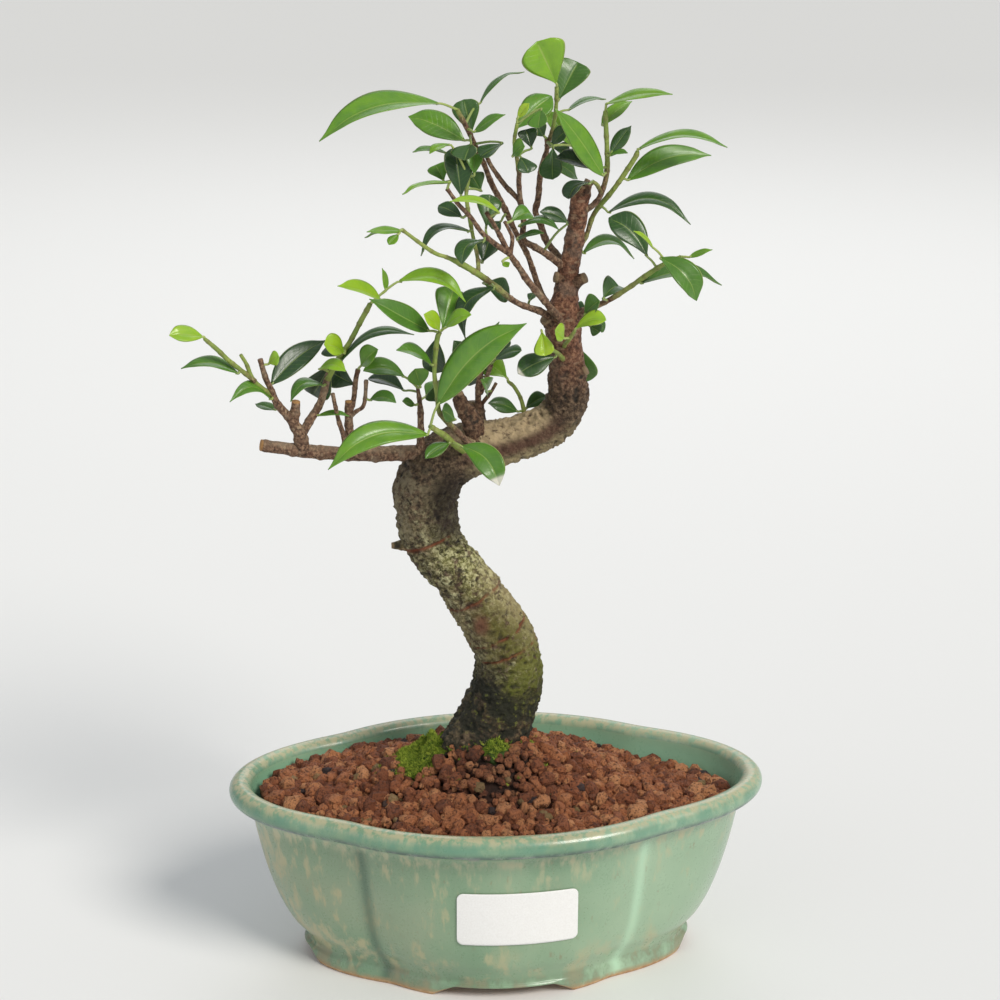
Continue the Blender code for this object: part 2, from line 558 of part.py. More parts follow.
def make_screen(name, x):
    """A square of plastic mesh over a drain hole: crossed bars with square holes."""
    cells = 7
    step = SCREEN_SIDE / cells
    base = FLOOR_OVER + GAP
    work = bmesh.new()
    grid = {}
    for layer, z in enumerate((base, base + SCREEN_THICK)):
        for i in range(cells + 1):
            for j in range(cells + 1):
                at = (x - SCREEN_SIDE / 2 + i * step, -SCREEN_SIDE / 2 + j * step, z)
                grid[i, j, layer] = work.verts.new(at)

    def solid(i, j):
        inside = 0 <= i < cells and 0 <= j < cells
        return inside and not (i % 2 and j % 2)

    for i in range(cells):
        for j in range(cells):
            if not solid(i, j):
                continue
            a, b, c, d = (i, j), (i + 1, j), (i + 1, j + 1), (i, j + 1)
            work.faces.new([grid[p + (1,)] for p in (a, b, c, d)])
            work.faces.new([grid[p + (0,)] for p in (d, c, b, a)])
            for p, q, beside in ((a, b, (i, j - 1)), (b, c, (i + 1, j)),
                                 (c, d, (i, j + 1)), (d, a, (i - 1, j))):
                if not solid(*beside):
                    work.faces.new([grid[p + (0,)], grid[q + (0,)], grid[q + (1,)],
                                    grid[p + (1,)]])
    loose = [v for v in work.verts if not v.link_faces]
    bmesh.ops.delete(work, geom=loose, context="VERTS")
    mesh = bpy.data.meshes.new(name)
    work.to_mesh(mesh)
    work.free()
    screen = bpy.data.objects.new(name, mesh)
    bpy.context.collection.objects.link(screen)
    mesh.materials.append(material("screen_plastic"))
    return screen


def soil_height(x, y):
    """Top of the soil: a low mound that falls away to the rim."""
    dx, dy = x - SOIL_MIDDLE[0], y - SOIL_MIDDLE[1]
    angle = math.atan2(dy, dx)
    share = min(1, math.hypot(dx, dy) / lobed(angle, 0.0125))
    dip = 0.004 * max(0, min(1, (x - 0.02) / 0.07))
    heap = SOIL_HEAP * math.exp(-((x + 0.002) ** 2 + (y + 0.011) ** 2) / 0.021 ** 2)
    return SOIL_EDGE + SOIL_CROWN * (0.5 + 0.5 * math.cos(math.pi * share)) - dip + heap


def soil_rings():
    inner = [(0.0130, 0.0640), (0.0150, 0.0560), (0.0180, 0.0370), (0.0225, 0.0235),
             (0.0290, 0.0160)]
    under = FLOOR_OVER + SCREEN_THICK + 2 * GAP
    rings = [outline(0.0480, under, SOIL_SIDES), outline(0.0400, under, SOIL_SIDES)]
    for inset, z in reversed(inner):
        rings.append(outline(inset + 4 * GAP, max(z, under + 0.001), SOIL_SIDES))
    for share in (1, .93, .86, .77, .68, .59, .50, .41, .32, .23, .14, .07):
        ring = []
        for i in range(SOIL_SIDES):
            angle = TAU * i / SOIL_SIDES
            r = lobed(angle, 0.0120 + 3 * GAP) * share
            x, y = r * math.cos(angle), r * math.sin(angle)
            ring.append(Vector((x, y, soil_height(x, y))))
        rings.append(ring)
    return rings


def make_moss(name, spec):
    cx, cy, half_x, half_y, height = (v * MM for v in spec)
    rings = []
    for share, lift in ((.6, 0), (1, 0), (1, .25), (.86, .66), (.55, .93)):
        ring = []
        for i in range(16):
            angle = TAU * i / 16
            wave = 1 + .10 * math.sin(3 * angle) + .06 * math.cos(5 * angle)
            x = cx + half_x * share * wave * math.cos(angle)
            y = cy + half_y * share * wave * math.sin(angle)
            ring.append(Vector((x, y, soil_height(x, y) + 4 * GAP + lift * height)))
        rings.append(ring)
    return put(name, *skin(rings, "fan", "fan"), look="moss")


def make_label():
    """A thin plate that follows the front lobe a hair off the glaze."""
    wide, tall = LABEL_SIZE
    mid_x, mid_z = LABEL_MIDDLE
    wall = [(s[1], s[0]) for s in pot_section()[6:14]]
    columns, rows = 10, 2
    corner = 0.0025

    def wall_inset(z):
        for (z0, i0), (z1, i1) in zip(wall, wall[1:]):
            if z <= z1:
                return i0 + (i1 - i0) * (z - z0) / (z1 - z0)
        return wall[-1][1]

    def at(x, z, out):
        in_x, in_y = drawn_in(wall_inset(z), z)
        a, b = FRONT_LOBES[0] - in_x + out, FRONT_LOBES[1] - in_y + out
        return Vector((x, -b * math.sqrt(1 - (x / a) ** 2), z))

    rings = []
    for j in range(columns + 1):
        s = -1 + 2 * j / columns
        x = mid_x + s * wide / 2
        near_end = max(0, abs(s) * wide / 2 - (wide / 2 - corner))
        trim = corner - math.sqrt(max(0, corner ** 2 - near_end ** 2))
        ring = []
        for out in (2.2 * GAP, 2.2 * GAP + LABEL_THICK):
            heights = [mid_z + (tall / 2 - trim) * (-1 + 2 * i / rows) for i in range(rows + 1)]
            if out > 2.2 * GAP:
                heights.reverse()
            ring += [at(x, z, out) for z in heights]
        rings.append(ring)
    return put("label", *skin(rings), look="paper")


# ---- tree ---------------------------------------------------------------------

def mm_point(p):
    return Vector(p[:3]) * MM


def tube(points, sides, grow=0.0):
    """Closed skin along the points; grow thickens it all round and past its ends."""
    path = [mm_point(p) for p in points]
    radii = [p[3] * MM + grow for p in points]
    if grow:
        path[0] -= (path[1] - path[0]).normalized() * grow
        path[-1] += (path[-1] - path[-2]).normalized() * grow
    across = None
    rings = []
    for i, here in enumerate(path):
        ahead = path[min(i + 1, len(path) - 1)] - path[max(i - 1, 0)]
        ahead.normalize()
        if across is None:
            across = ahead.cross(Vector((0.3, 1, 0.2))).normalized()
        across = (across - ahead * across.dot(ahead)).normalized()
        other = ahead.cross(across)
        rings.append([here + (across * math.cos(TAU * j / sides)
                              + other * math.sin(TAU * j / sides)) * radii[i]
                      for j in range(sides)])
    return skin(rings, "cap", "fan" if sides > 8 else "cap")


def nearest_on(stems, point):
    """Closest place to the point on the stems' centre lines."""
    best = None
    for stem in stems:
        places = [mm_point(p) for p in stem]
        for a, b in zip(places, places[1:]):
            along = (b - a)
            t = max(0, min(1, (point - a).dot(along) / along.length_squared))
            place = a + along * t
            if best is None or (place - point).length < (best - point).length:
                best = place
    return best


def leaf(spec, grow=0.0):
    """Closed skin of one blade, from the end of its stalk to the tip."""
    base, tip, width, roll, arch, bow = spec
    base, tip = mm_point(base), mm_point(tip)
    chord = tip - base
    length = chord.length
    ahead = chord.normalized()
    face = (VIEW_SIDE - ahead * VIEW_SIDE.dot(ahead)).normalized()
    swing = ahead.cross(face)
    if swing.z < 0:
        swing = -swing
    turn = math.radians(roll)
    normal = (face * math.cos(turn) + swing * math.sin(turn)).normalized()
    side = ahead.cross(normal).normalized()
    half = LEAF_THICK / 2 * MM + grow
    rings = []
    for share, wide in BLADE:
        hump = math.sin(math.pi * share)
        place = base + chord * share + normal * (arch * length * hump) + swing * (bow * length * hump)
        if grow and share in (0, 1):
            place += ahead * (grow if share else -grow)
        reach_out = max(width / 2 * MM * wide, STALK_RADIUS * MM) + grow
        rings.append([place + side * reach_out, place + normal * half,
                      place - side * reach_out, place - normal * half])
    return skin(rings)


def stalk(stems, spec, grow=0.0):
    """Short tube that joins a blade to the nearest place on its stems."""
    base, tip = mm_point(spec[0]), mm_point(spec[1])
    root = nearest_on(stems, base)
    end = base + (tip - base).normalized() * 0.001
    thick = STALK_RADIUS
    ends = [(*(p / MM), thick) for p in (root, end)]
    return tube(ends, 4, grow)


def make_trunk():
    trunk = put("trunk", *tube(TRUNK, TRUNK_SIDES), look="bark")
    tools = [put("root", *tube(r, 8)) for r in ROOTS]
    tools += [put("snag", *tube(s, 7)) for s in SNAGS]
    return keep_main_body(settle(trunk, "UNION", tools))


def trunk_clearance(grow=2.6 * GAP):
    return ([put("clear", *tube(TRUNK, TRUNK_SIDES, grow))]
            + [put("clear", *tube(r, 8, grow)) for r in ROOTS]
            + [put("clear", *tube(s, 7, grow)) for s in SNAGS])


def shoot_skins(name, grow=0.0):
    _, stems, leaves = SHOOTS[name]
    found = [tube(s, 8 if s[0][3] > 2 else TWIG_SIDES, grow) for s in stems]
    for spec in leaves:
        found += [leaf(spec, grow), stalk(stems, spec, grow)]
    return found


def reach(verts):
    return [(min(v[a] for v in verts), max(v[a] for v in verts)) for a in range(3)]


def touching(one, two):
    return all(a[0] <= b[1] and b[0] <= a[1] for a, b in zip(one, two))


def make_tree():
    """The trunk, then each shoot cut clear of every piece that was made before it."""
    made = [make_trunk()]
    earlier = [(tube(TRUNK, TRUNK_SIDES, GAP))] + [tube(r, 8, GAP) for r in ROOTS]
    earlier += [tube(s, 7, GAP) for s in SNAGS]
    for name, (parent, stems, leaves) in SHOOTS.items():
        skins = shoot_skins(name)
        look = "leaf" if len(leaves) > 1 else "bark"
        shoot = put(name, *skins[0], look=look)
        if len(skins) > 1:
            settle(shoot, "UNION", [put("grown", *s) for s in skins[1:]])
        span = reach([v.co for v in shoot.data.vertices])
        near = [s for s in earlier if touching(span, reach(s[0]))]
        if near:
            settle(shoot, "DIFFERENCE", [put("clear", *s) for s in near])
        made.append(keep_main_body(shoot))
        earlier += shoot_skins(name, GAP)
    return made


def stand_over_origin(things):
    """Hangs every piece on one empty that centres the plant's bounding box on x and y."""
    spans = [reach([v.co for v in t.data.vertices]) for t in things]
    low = [min(s[a][0] for s in spans) for a in range(3)]
    high = [max(s[a][1] for s in spans) for a in range(3)]
    plant = bpy.data.objects.new("plant", None)
    plant.location = (-(low[0] + high[0]) / 2, -(low[1] + high[1]) / 2, -low[2])
    bpy.context.collection.objects.link(plant)
    for thing in things:
        thing.parent = plant
    print("moved by %.2f %.2f %.2f mm" % tuple(v / MM for v in plant.location))


def main():
    clear_scene()
    things = [make_pot(), make_screen("drain_screen_left", -DRAIN_AT),
              make_screen("drain_screen_right", DRAIN_AT)]
    soil = put("soil_bed", *skin(soil_rings(), "fan", "fan"), look="lava_soil")
    things.append(keep_main_body(settle(soil, "DIFFERENCE", trunk_clearance())))
    for name, spec in MOSS.items():
        moss = make_moss(name, spec)
        things.append(keep_main_body(settle(moss, "DIFFERENCE", trunk_clearance())))
    things.append(make_label())
    things += make_tree()
    stand_over_origin(things)


main()
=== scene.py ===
import math
import bpy
import numpy as np
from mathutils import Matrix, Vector


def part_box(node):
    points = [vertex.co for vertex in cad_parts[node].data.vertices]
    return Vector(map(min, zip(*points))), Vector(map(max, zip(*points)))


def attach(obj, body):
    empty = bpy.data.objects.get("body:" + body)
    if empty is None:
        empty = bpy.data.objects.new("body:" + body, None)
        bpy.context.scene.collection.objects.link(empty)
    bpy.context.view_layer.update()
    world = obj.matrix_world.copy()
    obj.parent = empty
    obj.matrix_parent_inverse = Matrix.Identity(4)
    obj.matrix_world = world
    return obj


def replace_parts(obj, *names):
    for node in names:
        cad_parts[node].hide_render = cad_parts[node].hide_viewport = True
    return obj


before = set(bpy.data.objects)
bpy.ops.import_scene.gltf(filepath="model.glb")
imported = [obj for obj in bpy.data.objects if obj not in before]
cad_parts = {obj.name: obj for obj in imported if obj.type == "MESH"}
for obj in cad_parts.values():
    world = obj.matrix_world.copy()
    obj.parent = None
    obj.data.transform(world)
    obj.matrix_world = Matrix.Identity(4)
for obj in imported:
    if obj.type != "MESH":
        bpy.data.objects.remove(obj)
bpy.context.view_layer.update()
print("frame loaded:", len(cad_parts), "nodes")

potLow, potHigh = (np.array(c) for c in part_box("pot"))
potMiddle = (potLow + potHigh) / 2
potMiddle[2] = 0.0
mm = 0.001
turn = 2 * math.pi


class Wire:
    # one output socket; sums and products of wires add Math nodes to their finish
    def __init__(self, finish, socket):
        self.finish = finish
        self.socket = socket

    def maths(self, operation, first, second=0.0):
        return self.finish.add("ShaderNodeMath", {"operation": operation}, {0: first, 1: second})

    def __add__(self, other): return self.maths("ADD", self, other)
    def __radd__(self, other): return self.maths("ADD", other, self)
    def __sub__(self, other): return self.maths("SUBTRACT", self, other)
    def __rsub__(self, other): return self.maths("SUBTRACT", other, self)
    def __mul__(self, other): return self.maths("MULTIPLY", self, other)
    def __rmul__(self, other): return self.maths("MULTIPLY", other, self)
    def __truediv__(self, other): return self.maths("DIVIDE", self, other)
    def __pow__(self, other): return self.maths("POWER", self, other)
    def least(self, other): return self.maths("MINIMUM", self, other)
    def most(self, other): return self.maths("MAXIMUM", self, other)
    def size(self): return self.maths("ABSOLUTE", self)


class Finish:
    # a material under construction: every node comes from add
    def __init__(self, name, **fixed):
        self.material = bpy.data.materials.new(name)
        self.material.use_nodes = True
        self.tree = self.material.node_tree
        self.shader = self.tree.nodes["Principled BSDF"]
        for socket, value in fixed.items():
            self.shader.inputs[socket.replace("_", " ")].default_value = value

    def add(self, kind, settings=None, sockets=None, out=0):
        node = self.tree.nodes.new(kind)
        for key, value in (settings or {}).items():
            if key == "stops":
                ramp = node.color_ramp
                while len(ramp.elements) > 1:
                    ramp.elements.remove(ramp.elements[-1])
                for i, (place, colour) in enumerate(value):
                    stop = ramp.elements[0] if i == 0 else ramp.elements.new(place)
                    stop.position = place
                    stop.color = (*colour, 1)
            else:
                setattr(node, key, value)
        for key, value in (sockets or {}).items():
            if isinstance(value, Wire):
                self.tree.links.new(value.socket, node.inputs[key])
            else:
                node.inputs[key].default_value = value
        return Wire(self, node.outputs[out])

    def place(self): return self.add("ShaderNodeTexCoord", out="Object")

    def stretched(self, scale, shift=(0, 0, 0)):
        return self.add("ShaderNodeMapping", {}, {"Vector": self.place(), "Scale": scale,
                                                  "Location": shift})

    def attribute(self, name):
        return self.add("ShaderNodeAttribute", {"attribute_name": name}, out="Fac")

    def noise(self, scale, detail=4.0, rough=0.55, where=None):
        return self.add("ShaderNodeTexNoise", {}, {"Vector": where or self.place(), "Scale": scale,
                                                   "Detail": detail, "Roughness": rough})

    def cells(self, scale, where=None):
        return self.add("ShaderNodeTexVoronoi", {}, {"Vector": where or self.place(), "Scale": scale},
                        out="Distance")

    def ease(self, value, low, high, start=0.0, end=1.0):
        return self.add("ShaderNodeMapRange", {"interpolation_type": "SMOOTHSTEP"},
                        {"Value": value, "From Min": low, "From Max": high, "To Min": start,
                         "To Max": end})

    def ramp(self, value, stops):
        return self.add("ShaderNodeValToRGB", {"stops": stops}, {"Fac": value})

    def mix(self, share, first, second):
        node = self.tree.nodes.new("ShaderNodeMix")
        node.data_type = "RGBA"
        for key, value in ((0, share), (6, first), (7, second)):
            if isinstance(value, Wire):
                self.tree.links.new(value.socket, node.inputs[key])
            else:
                node.inputs[key].default_value = value if key == 0 else (*value, 1)
        return Wire(self, node.outputs[2])

    def split(self, out):
        return self.add("ShaderNodeSeparateXYZ", {}, {0: self.place()}, out=out)

    def finish(self, height=None, distance=0.0005, strength=1.0, **varying):
        for socket, value in varying.items():
            self.tree.links.new(value.socket, self.shader.inputs[socket.replace("_", " ")])
        if height is not None:
            bump = self.add("ShaderNodeBump", {}, {"Height": height, "Distance": distance,
                                                   "Strength": strength})
            self.tree.links.new(bump.socket, self.shader.inputs["Normal"])
        return self.material


def putMesh(name, points, faces, material, marks=None, smooth=True):
    # points as an N x 3 array, faces as an M x 4 or M x 3 array of point numbers
    mesh = bpy.data.meshes.new(name)
    points = np.asarray(points, dtype=np.float32)
    faces = np.asarray(faces, dtype=np.int32)
    sides = faces.shape[1]
    mesh.vertices.add(len(points))
    mesh.vertices.foreach_set("co", points.ravel())
    mesh.loops.add(faces.size)
    mesh.loops.foreach_set("vertex_index", faces.ravel())
    mesh.polygons.add(len(faces))
    mesh.polygons.foreach_set("loop_start", np.arange(0, faces.size, sides, dtype=np.int32))
    mesh.polygons.foreach_set("use_smooth", np.full(len(faces), smooth))
    for mark, values in (marks or {}).items():
        layer = mesh.attributes.new(mark, "FLOAT", "POINT")
        layer.data.foreach_set("value", np.asarray(values, dtype=np.float32).ravel())
    mesh.update()
    mesh.validate()
    mesh.materials.append(material)
    piece = bpy.data.objects.new(name, mesh)
    bpy.context.scene.collection.objects.link(piece)
    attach(piece, "root")
    return piece


def gridFaces(rows, columns):
    # quads of a rows x columns grid whose columns close on themselves
    i, j = np.meshgrid(np.arange(rows - 1), np.arange(columns), indexing="ij")
    k = (j + 1) % columns
    quads = np.stack([i * columns + j, i * columns + k, (i + 1) * columns + k,
                      (i + 1) * columns + j], axis=-1)
    return quads.reshape(-1, 4)


def capped(grid):
    # closes a rows x columns x 3 tube by shrinking an extra row at each end onto its middle
    first = np.repeat(grid[:1].mean(axis=1, keepdims=True), grid.shape[1], axis=1)
    last = np.repeat(grid[-1:].mean(axis=1, keepdims=True), grid.shape[1], axis=1)
    nearly = 0.02
    first = first + (grid[:1] - first) * nearly
    last = last + (grid[-1:] - last) * nearly
    return np.concatenate([first, grid, last])


def endFaces(rows, columns):
    # fans of quads that shut the small hole left in each end row of a capped tube
    half = columns // 2
    j = np.arange(half - 1)
    near = np.stack([j, (columns - 1 - j), (columns - 2 - j), j + 1], axis=-1)
    far = near[:, ::-1] + (rows - 1) * columns
    return np.concatenate([near, far])


def smoothPath(points, count):
    # Catmull-Rom curve through the rows of points, evenly spaced along its length
    p = np.asarray(points, dtype=float)
    if len(p) == 2:
        p = np.stack([p[0], p[0] * 2 / 3 + p[1] / 3, p[0] / 3 + p[1] * 2 / 3, p[1]])
    ends = np.concatenate([2 * p[:1] - p[1:2], p, 2 * p[-1:] - p[-2:-1]])
    t = np.linspace(0, len(p) - 1, max(count * 4, 60))
    k = np.minimum(t.astype(int), len(p) - 2)
    u = (t - k)[:, None]
    a, b, c, d = ends[k], ends[k + 1], ends[k + 2], ends[k + 3]
    curve = 0.5 * (2 * b + (c - a) * u + (2 * a - 5 * b + 4 * c - d) * u ** 2
                   + (3 * b - a - 3 * c + d) * u ** 3)
    run = np.concatenate([[0], np.cumsum(np.linalg.norm(np.diff(curve[:, :3], axis=0), axis=1))])
    even = np.linspace(0, run[-1], count)
    return np.stack([np.interp(even, run, curve[:, c]) for c in range(p.shape[1])], axis=1), run[-1]


def unit(v):
    return v / np.maximum(np.linalg.norm(v, axis=-1, keepdims=True), 1e-12)


def frames(path):
    # across and beside directions that turn as little as they can along the path
    ahead = unit(np.gradient(path, axis=0))
    across = np.zeros_like(ahead)
    start = np.cross(ahead[0], (0.3, 1.0, 0.2))
    across[0] = unit(start)
    for i in range(1, len(path)):
        step = across[i - 1] - ahead[i] * np.dot(across[i - 1], ahead[i])
        across[i] = unit(step)
    return ahead, across, np.cross(ahead, across)


def lattice(points, scale, seed):
    # smooth value noise: random numbers on a cubic lattice, eased between its corners
    q = np.asarray(points) / scale + seed * 17.31
    cell = np.floor(q).astype(np.int64)
    f = q - cell
    f = f * f * (3 - 2 * f)
    total = np.zeros(q.shape[:-1])
    for dx in (0, 1):
        for dy in (0, 1):
            for dz in (0, 1):
                h = ((cell[..., 0] + dx) * 374761393 + (cell[..., 1] + dy) * 668265263
                     + (cell[..., 2] + dz) * 2147483647 + seed * 144665)
                h = (h ^ (h >> 13)) * 1274126177
                value = ((h ^ (h >> 16)) & 0xFFFF) / 32767.5 - 1
                weight = ((f[..., 0] if dx else 1 - f[..., 0]) * (f[..., 1] if dy else 1 - f[..., 1])
                          * (f[..., 2] if dz else 1 - f[..., 2]))
                total += value * weight
    return total


def rough(points, scale, seed, octaves=3):
    # several lattices, each half the size and half the strength of the one before
    return sum(lattice(points, scale / 2 ** k, seed + k) / 2 ** k for k in range(octaves))


def ease(x, low, high):
    t = np.clip((x - low) / (high - low), 0, 1)
    return t * t * (3 - 2 * t)


viewSpec = {"stand": (-0.0584, -0.9458, 0.5156), "aim": (0.0014, -0.0001, 0.1963), "lens": 90.5,
            "floorSize": 60.0, "floorTone": (0.79, 0.795, 0.79), "worldTone": (0.93, 0.965, 1.0),
            "worldStrength": 0.42}


def setCamera(spec):
    data = bpy.data.cameras.new("camera")
    camera = bpy.data.objects.new("camera", data)
    bpy.context.scene.collection.objects.link(camera)
    data.lens, data.sensor_width = spec["lens"], 36
    stand = Vector(spec["stand"]) + Vector(potMiddle)
    aim = Vector(spec["aim"]) + Vector(potMiddle)
    camera.location = stand
    camera.rotation_euler = (aim - stand).to_track_quat("-Z", "Y").to_euler()
    bpy.context.scene.camera = camera


def setSun(name, place, spread, power, tone):
    # even light from one side, as soft as a lamp box that many degrees wide
    data = bpy.data.lights.new(name, "SUN")
    data.angle, data.energy, data.color = math.radians(spread), power, tone
    lamp = bpy.data.objects.new(name, data)
    lamp.rotation_euler = Vector(place).to_track_quat("Z", "Y").to_euler()
    bpy.context.scene.collection.objects.link(lamp)


def setLight(name, place, size, power, tone):
    data = bpy.data.lights.new(name, "AREA")
    data.size, data.energy, data.color = size, power, tone
    lamp = bpy.data.objects.new(name, data)
    lamp.location = place
    lamp.rotation_euler = (Vector((0, 0, 0.15)) - Vector(place)).to_track_quat("-Z", "Y").to_euler()
    bpy.context.scene.collection.objects.link(lamp)


def setFloor(spec):
    floorFinish = Finish("studioFloor", Base_Color=(*spec["floorTone"], 1), Roughness=0.7)
    half = spec["floorSize"] / 2
    mesh = bpy.data.meshes.new("studioFloor")
    mesh.from_pydata([(-half, -half, 0), (half, -half, 0), (half, half, 0), (-half, half, 0)], [],
                     [(0, 1, 2, 3)])
    mesh.materials.append(floorFinish.material)
    floor = bpy.data.objects.new("studioFloor", mesh)
    bpy.context.scene.collection.objects.link(floor)


setCamera(viewSpec)
setFloor(viewSpec)
setSun("keyLight", (1.00, -1.15, 1.35), 24, 2.45, (1.0, 0.955, 0.89))
setLight("fillLight", (-1.2, -0.9, 0.7), 1.2, 2.5, (0.92, 0.96, 1.0))
setLight("backLight", (0.2, 1.3, 1.2), 1.2, 6, (0.97, 0.98, 1.0))
world = bpy.data.worlds.new("studio")
bpy.context.scene.world = world
world.use_nodes = True
backdrop = world.node_tree.nodes["Background"]
backdrop.inputs["Color"].default_value = (*viewSpec["worldTone"], 1)
backdrop.inputs["Strength"].default_value = viewSpec["worldStrength"]
bpy.context.scene.view_settings.view_transform = "Standard"
print("camera and light set")


potSpec = {
    "foot": 0.0066, "notch": (0.066, 0.047), "insideRows": 42,
    "sideLobes": (0.1100, 0.0573), "frontLobes": (0.0914, 0.0657), "sharpness": 90,
    "top": 0.078, "roll": 0.0046, "around": 420, "archHeight": 0.0050,
    "leanEnds": 0.28, "leanFront": 0.32,
    "archFront": (0.0285, 0.0200), "archEnd": (0.0150, 0.0100),
    "drainAt": 0.045, "drainRadius": 0.0090, "wobble": 0.00035,
}


def drawnIn(inset, z):
    # the inset along x and along y: alike at the rim, more at the ends lower down
    lean = ease(-np.asarray(z), -0.066, -0.012)
    return inset * (1 + potSpec["leanEnds"] * lean), inset * (1 - potSpec["leanFront"] * lean)


def lobed(angle, inset, sharpness, z=1.0):
    # the larger of two ellipses in polar form, eased together where they cross
    c, s = np.cos(angle), np.sin(angle)
    inX, inY = drawnIn(inset, z)
    side = 1 / np.hypot(c / (potSpec["sideLobes"][0] - inX), s / (potSpec["sideLobes"][1] - inY))
    front = 1 / np.hypot(c / (potSpec["frontLobes"][0] - inX), s / (potSpec["frontLobes"][1] - inY))
    big, small = np.maximum(side, front), np.minimum(side, front)
    return big * (1 + (small / big) ** sharpness) ** (1 / sharpness)


def potSection():
    # (inset, height) stretches of the wall, each smoothed on its own so that corners stay
    rollZ = potSpec["top"] - potSpec["roll"]
    turns = np.radians(np.linspace(-66, 164, 40))
    roll = np.stack([potSpec["roll"] * (1 - np.cos(turns)), rollZ + potSpec["roll"] * np.sin(turns)],
                    axis=1)
    stretches = [
        (np.array([(0.0500, 0.0066), (0.0420, 0.0066), (0.0365, 0.0064)]), 6),
        (np.array([(0.0358, 0.0055), (0.0348, 0.0014), (0.0342, 0.0004), (0.0334, 0.0)]), 10),
        (np.array([(0.0325, 0.0), (0.0244, 0.0), (0.0234, 0.0004), (0.0228, 0.0016)]), 12),
        (np.array([(0.0229, 0.0028), (0.0235, 0.0052), (0.0242, 0.0066), (0.0243, 0.0078),
                   (0.0236, 0.0096), (0.0222, 0.0122), (0.0188, 0.0176), (0.0157, 0.0265),
                   (0.0132, 0.0380), (0.0112, 0.0510), (0.0098, 0.0610), (0.0088, 0.0648),
                   (0.0074, 0.0669), (0.0050, 0.0681)]), 110),
        (roll[2:], 38),
        (np.array([(0.0095, 0.0727), (0.0101, 0.0712), (0.0112, 0.0680), (0.0128, 0.0640),
                   (0.0150, 0.0560), (0.0180, 0.0370), (0.0225, 0.0235), (0.0290, 0.0160),
                   (0.0370, 0.0125), (0.0500, 0.0125)]), 40),
    ]
    return np.concatenate([smoothPath(np.column_stack([s, np.zeros(len(s))]), n)[0][:, :2]
                           for s, n in stretches])


def wallWander(points):
    # hand-made unevenness: a slow wander of the wall, none at the table
    return rough(points, 0.045, 3, 2) * potSpec["wobble"] * ease(points[..., 2], 0.002, 0.02)


def potSurface():
    # the section carried round the lobed outline; the foot band is lifted into arches
    section = potSection()
    angle = np.linspace(0, turn, potSpec["around"], endpoint=False)
    inset, height = section[:, :1], section[:, 1:]
    r = lobed(angle[None], inset, potSpec["sharpness"], height)
    x, y = r * np.cos(angle), r * np.sin(angle)
    low, high = potSpec["archFront"]
    front = 1 - np.clip((np.abs(x) - high) / (low - high), 0, 1)
    low, high = potSpec["archEnd"]
    end = (1 - np.clip((np.abs(y) - high) / (low - high), 0, 1)) * (np.abs(x) > 0.05)
    lift = potSpec["archHeight"] * np.maximum(front, end) ** 0.8
    foot = potSpec["foot"]
    z = np.where(height < foot, lift + height * (1 - lift / foot), height + 0 * x)
    points = np.stack([x, y, z], axis=-1)
    grow = (r + wallWander(points)) / r
    points = np.stack([x * grow, y * grow, z], axis=-1)
    return section, angle, points


def makePot():
    section, angle, points = potSurface()
    rows, columns = points.shape[:2]
    grid = capped(points)
    bare = ease(-section[:, 1:], -0.0011, -0.0005) * (section[:, :1] < 0.0345)
    clay = np.broadcast_to(bare, (rows, columns))
    notchX, notchY = potSpec["notch"]
    notchAngle = math.atan2(notchY, notchX)
    fold = np.abs(np.arctan2(np.abs(np.sin(angle)), np.abs(np.cos(angle))) - notchAngle)
    groove = np.broadcast_to(np.exp(-(fold / 0.035) ** 2)[None], (rows, columns))
    inner = (np.arange(rows) > rows - potSpec["insideRows"])[:, None] * 1.0
    inside = np.broadcast_to(inner, (rows, columns))
    marks = {"clay": clay, "groove": groove, "inside": inside}
    marks = {k: np.concatenate([v[:1], v, v[-1:]]) for k, v in marks.items()}
    faces = np.concatenate([gridFaces(rows + 2, columns), endFaces(rows + 2, columns)])
    pot = putMesh("glazedPot", grid.reshape(-1, 3) + potMiddle, faces, makeGlaze(), marks)
    cutDrains(pot)
    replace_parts(pot, "pot")


def cutDrains(pot):
    # two round holes through the floor, each cut by a plain drum
    drums = []
    ring = np.linspace(0, turn, 48, endpoint=False)
    for side in (-1, 1):
        drum = np.stack([np.stack([side * potSpec["drainAt"] + potSpec["drainRadius"] * np.cos(ring),
                                   potSpec["drainRadius"] * np.sin(ring), np.full(48, z)], axis=-1)
                         for z in (0.003, 0.0145)]) + potMiddle
        mesh = bpy.data.meshes.new("drum")
        faces = [tuple(q) for q in gridFaces(2, 48)] + [tuple(range(47, -1, -1)), tuple(range(48, 96))]
        mesh.from_pydata([tuple(p) for p in drum.reshape(-1, 3)], [], faces)
        tool = bpy.data.objects.new("drum", mesh)
        bpy.context.scene.collection.objects.link(tool)
        cut = pot.modifiers.new("drain", "BOOLEAN")
        cut.operation, cut.object, cut.solver = "DIFFERENCE", tool, "EXACT"
        drums.append(tool)
    bpy.context.view_layer.update()
    done = bpy.data.meshes.new_from_object(pot.evaluated_get(bpy.context.evaluated_depsgraph_get()))
    pot.modifiers.clear()
    pot.data = done
    for tool in drums:
        bpy.data.objects.remove(tool, do_unlink=True)


